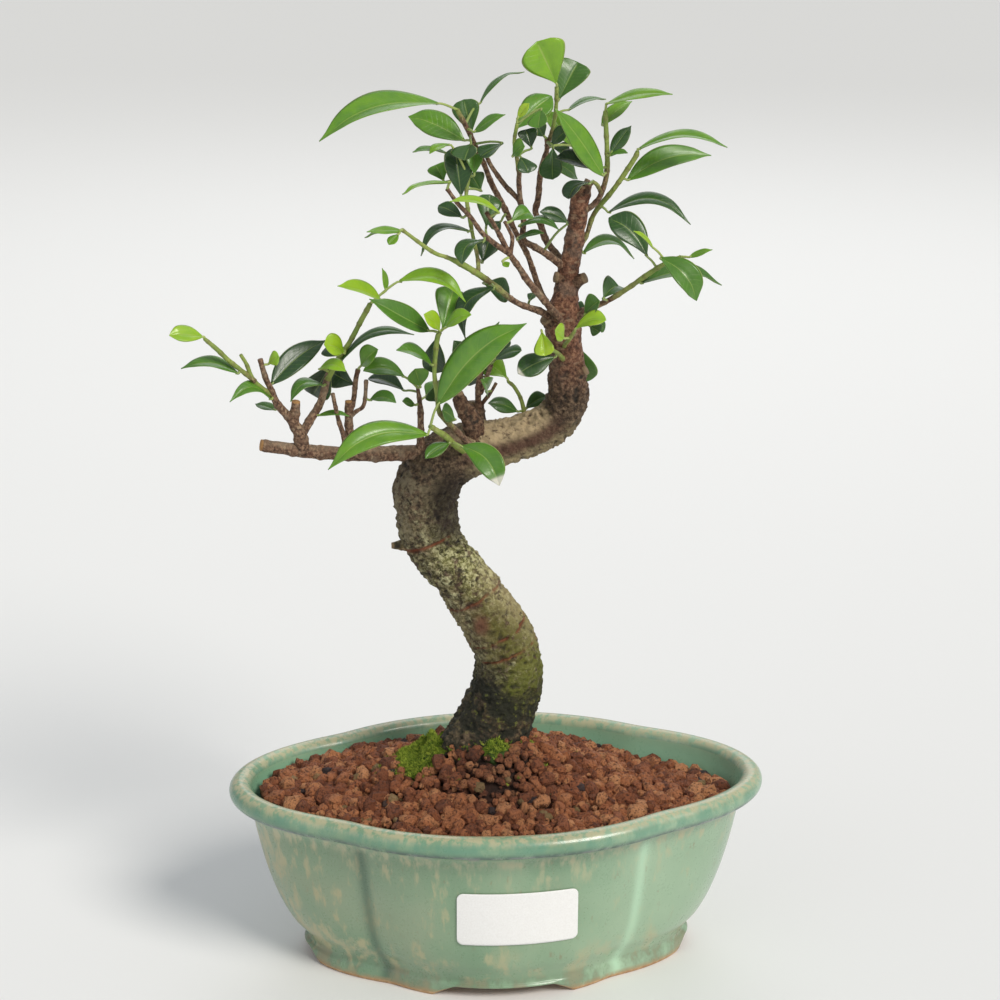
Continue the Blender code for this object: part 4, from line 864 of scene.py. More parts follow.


# Every shoot in millimetres from the middle of the pot: how green its stems are at the
# foot and at the end, the stems (x, y, z, radius), and the leaves (base, tip, width, roll,
# arch, bow, age).  Roll turns the blade from facing the front towards lying level, arch
# lifts the midrib off its chord, bow bends it upward in the blade's plane, and age runs
# from a pale new leaf at 0 to a dark old one at 1; some leaves are given a lower age as
# painted light, paler for the backlight and sheen they show.
shoots = {
    "left_branch": ((0, 0), [
        [(-22, -1, 216, 4), (-33, -4, 218, 3.1), (-45, -8, 219, 3), (-58, -12, 220.5, 2.7),
         (-77, -16, 223.5, 2.6), (-92, -19, 227, 2.2)],
        [(-76, -16, 223, 3), (-77, -17, 231, 2.5), (-79, -17, 235, 2.2), (-78, -18, 244, 1.6)],
    ], []),
    "left_fork_shoot": ((.05, .25), [
        [(-78, -17, 232, 1.8), (-81, -19, 238, 1.7), (-85, -22, 244, 1.5),
         (-87, -24, 250, 1.2), (-89, -25, 255, 1.1), (-91, -26, 263, 1)],
    ], [
        ((-87, -25, 247), (-102, -36, 250), 6, 35, .07, .22, .45),
        ((-86, -19, 241), (-94, -10, 241), 5, 45, .03, 0, .6),
        ((-87, -22, 252), (-66, -6, 265), 10, 10, .03, .05, .92),
        ((-88, -26, 261), (-84, -30, 265), 6, 20, .05, .04, .15),
    ]),
    "far_left_shoot": ((.45, .95), [
        [(-86, -23, 247, 1), (-91, -26, 252, 1), (-94, -28, 256, .9), (-96, -29, 262, .8),
         (-98, -30, 266, .7)],
        [(-93, -28, 255, .9), (-102, -32, 264, .9), (-107, -35, 270, .9), (-111, -36, 274, .7)],
    ], [
        ((-111, -37, 275), (-123, -44, 278), 8, 30, .03, .02, .12),
        ((-99, -31, 259), (-120, -36, 263), 7.5, 48, .03, .12, .55),
    ]),
    "inner_fork_shoot": ((.05, .3), [
        [(-78, -17, 227, 1.8), (-73, -14, 235, 1.7), (-69, -12, 241, 1.5), (-66, -10, 250, 1.3),
         (-65, -10, 253, 1.2)],
    ], [
        ((-64, -6, 256), (-72, -2, 241), 12.5, -8, .04, 0, .95),
        ((-67, -14, 249), (-80, -24, 246), 7, 42, .06, .2, .6),
        ((-69, -16, 256), (-59, -22, 257), 6, 35, .06, .15, .15),
        ((-70, -14, 237), (-58, -20, 239), 4, 55, .03, .02, .45),
    ]),
    "tall_left_shoot": ((.55, 1), [
        [(-66, -10, 250, 1.2), (-62, -12, 258, 1.1), (-57, -14, 266, 1), (-53, -16, 274, 1),
         (-50, -18, 280, 1), (-49, -18, 282, .9)],
    ], [
        ((-59, -16, 262), (-66, -24, 268), 9.5, 28, .05, .04, .15),
        ((-59, -10, 259), (-66, -4, 262), 9.5, 20, .03, 0, .85),
        ((-61, -14, 258), (-33, -20, 271), 8, 58, .03, .16, .75),
        ((-45, -21, 284), (-61, -34, 293), 8, 45, .05, .02, .08),
        ((-38, -20, 291), (-13, -26, 285), 8, 35, .06, .16, .2),
        ((-43, -19, 287), (-44, -20, 296), 3, 40, .01, .02, .3),
    ]),
    "cut_stub_shoot": ((.05, .15), [
        [(-59, -12, 221, 1.8), (-58, -12, 228, 1.8), (-58, -12, 236, 1.7), (-58, -12, 242, 1.3)],
        [(-58, -12, 236, 1.2), (-56, -11, 242, 1), (-55, -10, 250, 1), (-54, -10, 254, .9)],
        [(-58, -12, 235, 1), (-55, -13, 238, .8), (-52, -14, 241, .8), (-51, -15, 251, .8)],
    ], [
        ((-53, -13, 256), (-47, -22, 265), 8.5, 25, .03, .02, .35),
        ((-55, -8, 247), (-65, -2, 251), 11, -20, .03, 0, .85),
        ((-50, -15, 243), (-40, -21, 244), 6, 35, .05, .11, .55),
    ]),
    "dead_twig": ((0, 0), [
        [(-60, -12, 220, 1.2), (-60, -15, 228, 1), (-62, -17, 236, .9), (-64, -19, 247, .8)],
    ], []),
    "upright_shoot": ((0, .1), [
        [(-29, -3, 208, 2), (-30, -5, 222, 1.6), (-30, -5, 230, 1.3), (-30, -5, 236, 1.2),
         (-31, -6, 245, .7)],
    ], [
        ((-36, -8, 250), (-52, -12, 254), 9, 38, .04, .12, .4),
        ((-36, -3, 243), (-50, 4, 247), 10, 45, .03, .05, .9),
        ((-30, -9, 246), (-32, -11, 254), 9.5, 10, .03, 0, .3),
        ((-32, -6, 238), (-37, -10, 241), 4, 30, .03, 0, .6),
        ((-28, -2, 240), (-24, 4, 245), 7, 50, .03, 0, .4),
    ]),
    "middle_shoot": ((.1, 1), [
        [(-8, -5, 218, 1.6), (-14, -14, 227, 1.2), (-17, -17, 231, 1.1), (-23, -21, 239, 1),
         (-24, -22, 246, 1), (-25, -23, 254, .9), (-25, -23, 259, .9), (-24, -24, 269, 1),
         (-23, -24, 272, .9)],
    ], [
        ((-22, -22, 272), (-17, -12, 286), 13.5, -6, .04, 0, .36),
        ((-23, -26, 273), (-29, -32, 281), 7, 30, .05, .05, .12),
        ((-21, -26, 274), (-12, -32, 281), 7, 38, .05, .06, .2),
        ((-27, -26, 273), (-49, -34, 288), 9.5, 28, .03, -.02, .55),
        ((-24, -20, 269), (-25, -15, 253), 10, 8, .03, 0, .95),
        ((-26, -24, 259), (-39, -32, 268), 8.5, 55, .04, .06, .5),
        ((-23, -18, 251), (-25, -12, 241), 8, -10, .03, 0, .85),
        ((-17, -20, 236), (-22, -27, 242), 8, 35, .05, 0, .6),
    ]),
    "front_shoot": ((.75, 1), [
        [(-10, -3, 216, 1.6), (-16, -14, 223, 1.2), (-21, -22, 230, 1.2), (-27, -28, 236, 1)],
    ], [
        ((-24, -29, 245), (8, -34, 278), 15.5, 24, .03, .07, .4),
        ((-28, -29, 233), (-66, -44, 226), 12, 30, .04, .12, .36),
        ((-15, -22, 226), (-1, -34, 214), 11.5, 12, .05, .14, .44),
        ((-19, -20, 227), (-29, -27, 223), 7, 35, .03, .02, .5),
    ]),
    "snag_shoot": ((.05, .3), [
        [(-6, 4, 216, 1.6), (-7, 4, 237, 1.3), (-6, 5, 248, 1.2)],
        [(-6, 5, 234, .9), (-4, 4, 237, .8), (-2, 3, 240, .7), (0, 2, 244, .6)],
        [(-6, 5, 239, 1), (-4, 3, 245, .9), (-2, 1, 252, .9)],
    ], [
        ((-1, 0, 254), (9, -6, 260), 8, 55, .03, .03, .8),
        ((-1, 2, 253), (5, 8, 261), 7, 30, .03, 0, .85),
        ((-5, 8, 243), (-10, 14, 242), 5.5, 20, .03, 0, .85),
        ((-4, 0, 241), (-6, -14, 250), 8, 60, .07, 0, .5),
        ((-5, 7, 244), (-16, 12, 259), 10, 12, .03, 0, .7),
        ((-3, 8, 245), (1, 14, 266), 8.5, 45, .05, .07, .55),
    ]),
    "bend_shoot": ((.3, .8), [
        [(12, 3, 221, 1.2), (11, 7, 233, .9), (8, 8, 240, .8), (5, 8, 243, .7)],
    ], [
        ((5, 8, 244), (-4, 12, 250), 11, 15, .05, .04, .22),
        ((9, 6, 231), (-3, 2, 236), 7, 25, .03, .06, .7),
        ((12, 9, 231), (21, 14, 235), 7, 15, .03, .06, .65),
    ]),
    "neck_left_shoot": ((.4, .8), [
        [(27, -3, 253, 1), (23, -14, 260, .8), (19, -18, 263, .8)],
    ], [
        ((22, -15, 259), (7, -20, 254), 10, 18, .03, .04, .78),
        ((16, -20, 271), (17, -24, 262), 8, -10, -.05, 0, .05),
    ]),
    "neck_right_shoot": ((.4, .9), [
        [(26, -3, 259, .9), (26, -11, 263, .8), (27, -16, 266, .8), (29, -18, 270, .7)],
    ], [
        ((25, -18, 267), (21, -24, 272), 8, 30, .05, 0, .1),
        ((29, -19, 271), (40, -24, 276), 8, 38, .05, .08, .08),
    ]),
    "neck_back_shoot": ((.2, .5), [
        [(28, 1, 257, .9), (33, 9, 257, .8), (34, 11, 256, .7)],
    ], [
        ((34, 12, 255), (37, 15, 240), 10, 10, .03, 0, .55),
    ]),
    "right_branch": ((.15, .8), [
        [(27, -1, 268, 1.8), (34, -5, 274, 1.4), (38, -8, 277, 1.2), (43, -10, 280, 1.1),
         (49, -14, 285, 1), (57, -18, 292, 1), (63, -22, 297, .9), (68, -25, 300, .7)],
    ], [
        ((60, -26, 300), (74, -32, 285), 11, 20, .15, .06, .5),
        ((54, -17, 288), (87, -8, 286), 9, 48, .03, .1, .6),
        ((71, -26, 300), (79, -30, 304), 3, 30, .03, 0, .25),
        ((56, -20, 299), (42, -13, 313), 12.5, 15, .03, .1, .75),
        ((58, -23, 303), (50, -28, 311), 3, 50, .03, .04, .15),
        ((33, -13, 275), (38, -19, 282), 8.5, 25, .04, .02, .5),
        ((40, -13, 281), (47, -6, 285), 10, 15, .05, .06, .7),
    ]),
    "right_bud": ((.1, .4), [
        [(27, 1, 268, 1), (34, 7, 269, .8), (37, 9, 268, .7)],
    ], [
        ((37, 9, 265), (41, 6, 263), 6, 20, .03, 0, .7),
        ((39, 12, 266), (44, 14, 262), 5.5, 30, .03, .04, .6),
        ((36, 12, 270), (32, 16, 271), 6, 15, .03, .04, .8),
    ]),
    "upper_right_branch": ((.3, 1), [
        [(29, 1, 294, 1.3), (35, 4, 302, 1), (38, 3, 311, 1), (45, -3, 322, 1),
         (52, -7, 334, 1), (53, -8, 337, .8)],
    ], [
        ((34, 5, 295), (55, 12, 291), 7, 50, .03, .25, .45),
        ((43, 0, 312), (74, -8, 310), 8, 45, .03, .2, .72),
        ((53, -9, 338), (86, -16, 340), 8, 55, .03, .12, .36),
        ((50, -3, 325), (83, 4, 333), 10.5, 22, .02, .1, .44),
    ]),
    "top_right_shoot": ((.15, .9), [
        [(32, 0, 312, 1.6), (37, -1, 315, 1.2), (40, -3, 320, 1), (42, -4, 330, 1),
         (41, -5, 349, .9), (41, -5, 352, .8)],
    ], [
        ((41, -7, 355), (65, -14, 360), 8, 52, .03, .04, .33),
        ((40, -2, 346), (52, 4, 354), 6.5, 30, .03, .04, .28),
        ((43, -6, 336), (51, -2, 346), 6, 20, .03, 0, .75),
        ((42, -6, 335), (49, -10, 337), 4, 55, .03, .06, .4),
        ((40, -9, 328), (21, -16, 355), 11, 28, .04, 0, .4),
        ((38, -8, 330), (22, -12, 336), 9.5, 38, .03, .03, .98),
    ]),
    "cut_top_shoot": ((.4, .5), [
        [(40, -3, 320, .9), (38, -7, 324, .8), (36, -9, 326, .7)],
    ], [
        ((35, -12, 326), (26, -16, 321), 8.5, 40, .04, .16, .95),
    ]),
    "crown_branch_back": ((.05, .3), [
        [(28, 1, 290, 1.6), (24, 7, 294, 1.4), (20, 10, 299, 1.3), (18, 12, 305, 1.3),
         (16, 13, 310, 1.2), (17, 13, 315, 1.2), (18, 11, 327, 1.1), (20, 10, 334, 1),
         (20, 9, 339, .9)],
    ], [
        ((22, 4, 337), (21, -4, 326), 10, 20, .03, 0, .75),
        ((21, 6, 337), (27, 1, 344), 7, 25, .03, 0, .85),
        ((19, 7, 340), (16, 4, 345), 6, 10, .03, 0, .8),
        ((22, 14, 335), (30, 18, 332), 7, 20, .03, 0, .85),
        ((21, 15, 330), (34, 22, 321), 8, 30, .03, .02, .55),
    ]),
    "leader_shoot": ((.3, 1), [
        [(20, 10, 336, .9), (22, 7, 343, .8), (23, 4, 352, .8), (23, 2, 360, .8)],
    ], [
        ((23, 0, 361), (15, -4, 378), 19.5, 4, .01, 0, .18),
        ((24, 6, 354), (32, 12, 368), 14.5, 14, .03, 0, .62),
        ((32, 18, 334), (19, 22, 348), 8, 20, .03, .02, .25),
        ((28, 9, 350), (43, 14, 354), 6, 62, .03, .06, .6),
    ]),
    "crown_branch_front": ((.05, .3), [
        [(28, 1, 289, 1.7), (20, -3, 296, 1.4), (14, -4, 300, 1.3), (10, -5, 303, 1.2),
         (10, -6, 310, 1.1), (9, -6, 317, 1.1), (6, -6, 321, 1), (3, -5, 324, 1),
         (-2, -4, 331, .9), (-4, -4, 335, .8)],
    ], [
        ((8, -9, 309), (23, -16, 309), 6, 48, .03, .2, .6),
        ((27, -9, 310), (16, -11, 315), 6.5, 25, .03, .08, .85),
        ((7, -10, 304), (17, -16, 308), 5, 55, .03, .05, .65),
    ]),
    "crown_front_shoot": ((.2, .7), [
        [(9, -6, 316, 1), (8, -9, 326, 1), (8, -10, 330, 1), (7, -11, 336, .8),
         (6, -12, 342, .7), (7, -13, 349, .7)],
    ], [
        ((7, -8, 346), (21, 0, 357), 11.5, 14, .03, .03, .42),
        ((7, -14, 351), (11, -16, 357), 4, 20, .01, .01, .08),
        ((16, -16, 355), (14, -22, 349), 8.5, 30, .05, 0, .45),
        ((13, -6, 338), (11, -3, 345), 8.5, 10, .03, 0, .98),
        ((5, -16, 337), (9, -21, 342), 8, 35, .05, .04, .35),
        ((8, -14, 337), (11, -20, 332), 8.5, 25, .03, 0, .78),
    ]),
    "crown_branch_left": ((0, .2), [
        [(26, 0, 266, 1.8), (19, 5, 277, 1.2), (16, 7, 284, 1.2), (13, 8, 293, 1.1),
         (10, 8, 299, 1.1), (7, 7, 305, 1.1), (4, 5, 312, 1.2), (1, 3, 318, 1.1),
         (-2, 2, 324, 1.1), (-5, 1, 332, 1), (-8, 0, 337, 1)],
    ], [
        ((2, 1, 309), (-2, -3, 307), 6, 20, .03, 0, .85),
    ]),
    "crown_left_shoot": ((.1, .5), [
        [(-6, 1, 334, 1), (-10, -2, 343, 1), (-12, -3, 347, 1), (-15, -5, 353, .9)],
    ], [
        ((-22, -8, 356), (-67, -22, 346), 13, 42, .03, .09, .32),
        ((-12, 2, 340), (-33, 8, 349), 11.5, 18, .03, .03, .34),
        ((-9, 3, 342), (-12, 6, 355), 11, -8, .03, 0, .65),
        ((-9, -8, 345), (2, -14, 353), 6, 40, .03, .02, .4),
        ((-6, 8, 353), (11, 16, 365), 5.5, 64, .03, .1, .55),
        ((-10, -9, 341), (-13, -16, 336), 11.5, 30, .04, 0, .72),
        ((2, -9, 341), (-7, -14, 337), 8.5, 40, .05, -.04, .8),
    ]),
    "forked_branch": ((0, .3), [
        [(27, -1, 264, 1.8), (24, -8, 272, 1.4), (18, -11, 280, 1.3), (11, -14, 289, 1.3),
         (8, -15, 294, 1.2), (4, -17, 300, 1.1), (2, -18, 304, 1), (-1, -19, 310, .9),
         (-5, -20, 317, .8)],
        [(4, -17, 299, .9), (5, -18, 306, .8), (4, -18, 309, .7), (2, -19, 313, .7)],
    ], [
        ((0, -21, 317), (-19, -32, 324), 5, 45, .03, .08, .15),
        ((4, -19, 313), (12, -14, 316), 8.5, 22, .03, .02, .4),
        ((1, -20, 298), (3, -24, 297), 3, 20, 0, 0, .2),
    ]),
    "forked_left_shoot": ((.05, .4), [
        [(4, -17, 300, 1), (-3, -21, 306, 1), (-7, -23, 310, .9), (-11, -25, 316, .9),
         (-16, -28, 322, .8), (-20, -30, 328, .8)],
    ], [
        ((-19, -32, 331), (-37, -42, 330), 5, 66, .03, .03, .3),
        ((-14, -25, 316), (-23, -20, 320), 7, 25, .03, .02, .85),
        ((-6, -24, 307), (-15, -34, 301), 8, 38, .04, .2, .75),
        ((-5, -17, 310), (-3, -11, 322), 10, -12, .03, 0, .65),
    ]),
    "low_crown_branch": ((.05, 1), [
        [(26, -1, 268, 1.8), (17, -8, 275, 1.4), (7, -12, 280, 1.2), (-2, -16, 288, 1.1),
         (-8, -19, 293, 1.2), (-15, -22, 298, 1.2), (-20, -25, 301, .8), (-26, -27, 304, .8),
         (-37, -30, 313, .7)],
    ], [
        ((-37, -31, 313), (-50, -37, 314), 4.5, 40, .03, 0, .35),
        ((-38, -30, 312), (-51, -22, 309), 4, 55, .03, .04, .4),
        ((-38, -32, 312), (-42, -36, 309), 4, 20, 0, 0, .3),
        ((-6, -13, 288), (5, -5, 282), 10, 14, .03, 0, .85),
        ((12, -8, 279), (14, -4, 282), 4, 20, 0, 0, .8),
        ((-2, -20, 288), (-14, -26, 270), 9, 38, .05, .24, .92),
    ]),
    "low_crown_shoot": ((.4, .95), [
        [(-8, -19, 293, .9), (-8, -15, 298, .8), (-10, -13, 308, .8), (-12, -11, 321, .8),
         (-11, -9, 328, .8)],
    ], [
        ((-11, -16, 309), (-30, -24, 302), 6.5, 52, .03, .24, .8),
        ((-14, -12, 321), (-16, -6, 339), 12, 14, .03, 0, .85),
        ((-20, -2, 325), (-23, 2, 331), 8.5, 10, .03, 0, .45),
        ((-9, -11, 329), (-9, -8, 337), 7, 10, .03, 0, .45),
        ((-6, -6, 322), (-10, 0, 328), 9.5, 8, .03, 0, .65),
        ((-19, -6, 337), (-32, -12, 339), 5, 58, .03, .06, .5),
        ((-18, -10, 341), (-26, -15, 339), 5, 50, .03, .06, .3),
        ((-6, -10, 295), (-3, -4, 303), 9.5, 5, .03, 0, .85),
    ]),
}

leafSpec = {
    "rows": 26, "halfAcross": 11, "thick": 0.00034, "stalk": 0.00050, "fold": (5, 24),
    "curl": (-0.10, 0.22), "wave": 0.05, "twist": 9, "seed": 23,
    "viewSide": (-0.06, -0.94, 0.32),
    "dryTips": {("front_shoot", 2): 0.84, ("neck_left_shoot", 0): 0.88},
}
stemGroups = {
    "leftStems": ("left_branch", "left_fork_shoot", "far_left_shoot", "inner_fork_shoot",
                  "tall_left_shoot", "cut_stub_shoot", "dead_twig", "upright_shoot"),
    "middleStems": ("middle_shoot", "front_shoot", "snag_shoot", "bend_shoot",
                    "neck_left_shoot", "neck_right_shoot", "neck_back_shoot", "right_branch",
                    "right_bud", "low_crown_branch", "low_crown_shoot"),
    "crownStems": ("upper_right_branch", "top_right_shoot", "cut_top_shoot",
                   "crown_branch_back", "leader_shoot", "crown_branch_front",
                   "crown_front_shoot", "crown_branch_left", "crown_left_shoot",
                   "forked_branch", "forked_left_shoot"),
}


def makeStems(name, members):
    parts = []
    for k, member in enumerate(members):
        (foot, tip), stems, _ = shoots[member]
        for line in stems:
            thick = line[0][3] > 2
            points, out, share, bud = twig(line, 18 if thick else 10, 0.0008, k,
                                           0.011 if thick else 0.0068)
            zero = np.zeros(points.shape[:2])
            cut = zero.copy()
            cut[-1:] = line[-1][3] > 1.2
            parts.append(tubePart(points, {"green": foot + (tip - foot) * share + zero, "bud": bud,
                                           "up": out[..., 2], "cut": cut}))
    points, faces, marks = stack(parts)
    return putMesh(name, points + potMiddle, faces, stemFinish(), marks)


def nearestOnStems(stems, point):
    # closest place to the point on any of the stems' lines, and that stem's direction there
    best = None
    for stem in stems:
        p = np.array(stem, dtype=float)[:, :3] * mm
        a, b = p[:-1], p[1:]
        t = np.clip(((point - a) * (b - a)).sum(1) / ((b - a) ** 2).sum(1), 0, 1)
        spots = a + (b - a) * t[:, None]
        gap = np.linalg.norm(spots - point, axis=1)
        i = int(gap.argmin())
        if best is None or gap[i] < best[0]:
            best = (gap[i], spots[i], unit(b[i] - a[i]))
    return best[1], best[2]


def leafBlade(spec, rng, dryFrom):
    # an outline t^(0.82 + 0.60 b) (1-t)^(0.98 - 0.54 b) about a bowed midrib, where b is 0 on
    # slim leaves and 1 on broad ones; the section is a shallow V with a sunk midrib, curled
    # and waved at its edges, closed underneath at a third of a millimetre
    base, tip, width, roll, arch, bow, age = spec
    base, tip = np.array(base) * mm, np.array(tip) * mm
    chord = tip - base
    length = np.linalg.norm(chord)
    ahead = chord / length
    view = unit(np.array(leafSpec["viewSide"]))
    face = unit(view - ahead * view.dot(ahead))
    swing = np.cross(ahead, face)
    swing = swing if swing[2] > 0 else -swing
    lean = math.radians(roll)
    normal = face * math.cos(lean) + swing * math.sin(lean)
    side = np.cross(ahead, normal)
    t = np.linspace(0, 1, leafSpec["rows"]) ** 0.92
    hump = np.sin(np.pi * t)
    mid = (base + chord * t[:, None] + normal * (arch * length * hump)[:, None]
           + swing * (bow * length * hump)[:, None])
    mid = mid - normal * (ease(t, 0.72, 1.0) * length * rng.uniform(0.0, 0.07))[:, None]
    along = unit(np.gradient(mid, axis=0))
    side = unit(side - along * (along @ side)[:, None])
    normal = np.cross(side, along)
    spin = np.radians(rng.uniform(-1, 1) * leafSpec["twist"]) * (t - 0.3)
    side, normal = (side * np.cos(spin)[:, None] + normal * np.sin(spin)[:, None],
                    normal * np.cos(spin)[:, None] - side * np.sin(spin)[:, None])
    blunt = min(1, max(0, (width * mm / length - 0.42) / 0.30))
    edge = t ** (0.82 + 0.60 * blunt) * (1 - t) ** (0.98 - 0.54 * blunt)
    edge = edge * (1 - (0.30 - 0.2 * blunt) * ease(t, 0.80, 0.97))
    edge = edge / edge.max() * width / 2 * mm
    edge = np.maximum(edge, leafSpec["stalk"] * (1 - 0.75 * t))
    half = leafSpec["halfAcross"]
    top = np.linspace(-1, 1, half)
    across = np.concatenate([top, top[-2:0:-1]])
    under = np.concatenate([np.zeros(half), np.ones(half - 2)])
    fold = math.radians(rng.uniform(*leafSpec["fold"])) * (0.5 if width < 7 else 1)
    curl = rng.uniform(*leafSpec["curl"])
    u = np.abs(across)[None]
    rise = math.sin(fold) * u * edge[:, None] - curl * u ** 2.4 * edge[:, None]
    phase = rng.uniform(0, turn, 2)
    rise = rise + (leafSpec["wave"] * np.sin(9 * t[:, None] + phase[(across > 0).astype(int)][None])
                   * u ** 2 * edge[:, None])
    rise = rise - (0.00028 * np.exp(-(u / 0.10) ** 2) * ease(t, 0.02, 0.2)[:, None]
                   * (1 - ease(t, 0.9, 1.0))[:, None])
    keel = under[None] * 0.00030 * np.exp(-(u / 0.07) ** 2) * (1 - t[:, None])
    down = under[None] * leafSpec["thick"] * (1 - u ** 6) + keel
    points = (mid[:, None] + side[:, None] * (across[None] * edge[:, None] * math.cos(fold))[..., None]
              + normal[:, None] * (rise - down)[..., None])
    full = np.zeros(points.shape[:2])
    return points, {"across": full + across[None], "along": full + t[:, None],
                    "under": full + under[None], "age": full + age, "stalk": full,
                    "dry": full + ease(t, dryFrom, dryFrom + 0.05)[:, None],
                    "own": full + rng.uniform()}


def leafStalk(spec, stems, own):
    # a thin tube that leaves the stem and turns into the blade's midrib
    base, tip = np.array(spec[0]) * mm, np.array(spec[1]) * mm
    root, ahead = nearestOnStems(stems, base)
    inward = unit(tip - base)
    gap = np.linalg.norm(base - root)
    bend = root + (base - root) * 0.5 + (unit(base - root + 1e-9) + ahead * 0.6) * gap * 0.10
    line = np.concatenate([[root], [bend], [base], [base + inward * 0.0012]])
    path, _ = smoothPath(np.column_stack([line, np.full(4, leafSpec["stalk"])]), 9)
    _, across, beside = frames(path[:, :3])
    angle = np.linspace(0, turn, 8, endpoint=False)
    out = (across[:, None] * np.cos(angle)[None, :, None]
           + beside[:, None] * np.sin(angle)[None, :, None])
    points = path[:, None, :3] + out * (leafSpec["stalk"] * np.linspace(1.1, 0.85, 9))[:, None, None]
    full = np.zeros(points.shape[:2])
    return points, {"across": full, "along": full, "under": full, "age": full + spec[6],
                    "stalk": full + 1, "dry": full, "own": full + own}


def makeFoliage(name, members, seed):
    rng = np.random.default_rng(leafSpec["seed"] + seed)
    parts = []
    for member in members:
        _, stems, leaves = shoots[member]
        for k, spec in enumerate(leaves):
            points, marks = leafBlade(spec, rng, leafSpec["dryTips"].get((member, k), 2.0))
            parts.append(tubePart(points, marks))
            parts.append(tubePart(*leafStalk(spec, stems, marks["own"][0, 0])))
    points, faces, marks = stack(parts)
    print(name, len(parts) // 2, "leaves,", len(faces), "faces")
    return putMesh(name, points + potMiddle, faces, leafFinish(), marks)


def stemFinish():
    s = Finish("shootSkin")
    green, bud, up = s.attribute("green"), s.attribute("bud"), s.attribute("up")
    grit, streak = s.noise(900, 4, 0.65), s.noise(160, 4, 0.6)
    bark = s.ramp(grit, [(0.36, (0.040, 0.020, 0.011)), (0.50, (0.135, 0.072, 0.042)),
                         (0.64, (0.30, 0.185, 0.110))])
    bark = s.mix(s.ease(streak, 0.52, 0.66) * 0.55, bark, (0.29, 0.225, 0.150))
    bark = s.mix(s.ease(streak, 0.42, 0.30) * 0.5, bark, (0.120, 0.042, 0.024))
    # painted highlight: the upper side of each stem made paler
    bark = s.mix(s.ease(up, 0.1, 0.8) * 0.30, bark, (0.34, 0.265, 0.175))
    dots = s.ease(s.cells(420, s.stretched((1, 1, 0.7))), 0.30, 0.16)
    bark = s.mix(dots * 0.55, bark, (0.40, 0.29, 0.18))
    lively = s.ramp(streak, [(0.3, (0.165, 0.245, 0.040)), (0.6, (0.275, 0.345, 0.070)),
                             (0.8, (0.36, 0.39, 0.12))])
    base = s.mix(s.ease(green + (streak - 0.5) * 0.5, 0.35, 0.62), bark, lively)
    base = s.mix(bud * 0.45, base, (0.16, 0.085, 0.05))
    base = s.mix(s.attribute("cut") * 0.85, base, (0.46, 0.235, 0.075))
    return s.finish(grit * 0.7 + streak * 0.4 + dots * 0.3, 0.0010, 0.8, Base_Color=base,
                    Roughness=s.ease(green, 0.3, 0.8, 0.80, 0.45))


def leafFinish():
    f = Finish("waxyLeaf", Coat_Roughness=0.16, Subsurface_Weight=0.06, Subsurface_Scale=0.0008)
    f.shader.inputs["Subsurface Radius"].default_value = (0.5, 1.0, 0.2)
    across, along = f.attribute("across"), f.attribute("along")
    under, age, own, stalk = (f.attribute(n) for n in ("under", "age", "own", "stalk"))
    cloud = f.noise(140, 3, 0.6)
    fine = f.noise(1500, 3, 0.6)
    # tone follows age, which for some leaves is lowered as painted light for backlight and sheen
    tone = age + (cloud - 0.5) * 0.28 + (own - 0.5) * 0.10
    base = f.ramp(tone, [(0.02, (0.350, 0.510, 0.014)), (0.18, (0.205, 0.400, 0.014)),
                         (0.40, (0.086, 0.225, 0.016)), (0.62, (0.042, 0.120, 0.014)),
                         (0.82, (0.021, 0.066, 0.014)), (1.0, (0.010, 0.030, 0.010))])
    wide = across.size()
    # side veins run out from the midrib and lean towards the tip
    stripe = along * 11.0 - wide * 1.6 + own * 3.0
    vein = (stripe.maths("FRACT", stripe) - 0.5).size()
    veins = f.ease(vein, 0.42, 0.50) * f.ease(wide, 0.98, 0.80)
    base = f.mix(veins * 0.14, base, (0.24, 0.36, 0.07))
    dusty = f.ease(cloud, 0.50, 0.70) * f.ease(age, 0.5, 0.8)
    base = f.mix(dusty * 0.22, base, (0.12, 0.175, 0.105))
    below = f.mix(0.60, base, (0.215, 0.315, 0.085))
    base = f.mix(under * 0.80, base, below)
    rib = f.ease(wide, 0.055, 0.022) * f.ease(along, 1.0, 0.85)
    base = f.mix(rib * (0.60 - age * 0.32), base, (0.34, 0.45, 0.10))
    rim = f.ease(wide, 0.93, 0.985)
    base = f.mix(rim * 0.62, base, (0.50, 0.56, 0.20))
    base = f.mix(stalk, base, f.ramp(age, [(0.2, (0.36, 0.44, 0.12)), (0.8, (0.20, 0.27, 0.07))]))
    base = f.mix(f.ease(f.noise(420, 2), 0.70, 0.76) * 0.25, base, (0.22, 0.16, 0.06))
    base = f.mix(f.attribute("dry") * 0.92, base, (0.62, 0.60, 0.52))
    height = veins * -0.30 + rib * -0.5 + fine * 0.12 + f.noise(500, 3) * 0.25
    rough = f.ease(fine * 0.5 + cloud * 0.5, 0.35, 0.65, 0.30, 0.46) + under * 0.16
    return f.finish(height, 0.0004, 0.35, Base_Color=base, Roughness=rough,
                    Coat_Weight=(1 - under) * 0.24)


for index, (name, members) in enumerate(stemGroups.items()):
    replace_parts(makeStems(name, members), *members)
    makeFoliage(name.replace("Stems", "Leaves"), members, index)


mossSpec = {"patches": ((-28, -1, 16, 13, 6.0, 3600), (-2, -17, 5, 3.5, 3.0, 220)),
            "strays": 260, "blade": (0.0008, 0.0019), "seed": 11, "clump": 0.0028, "lift": 0.0004}


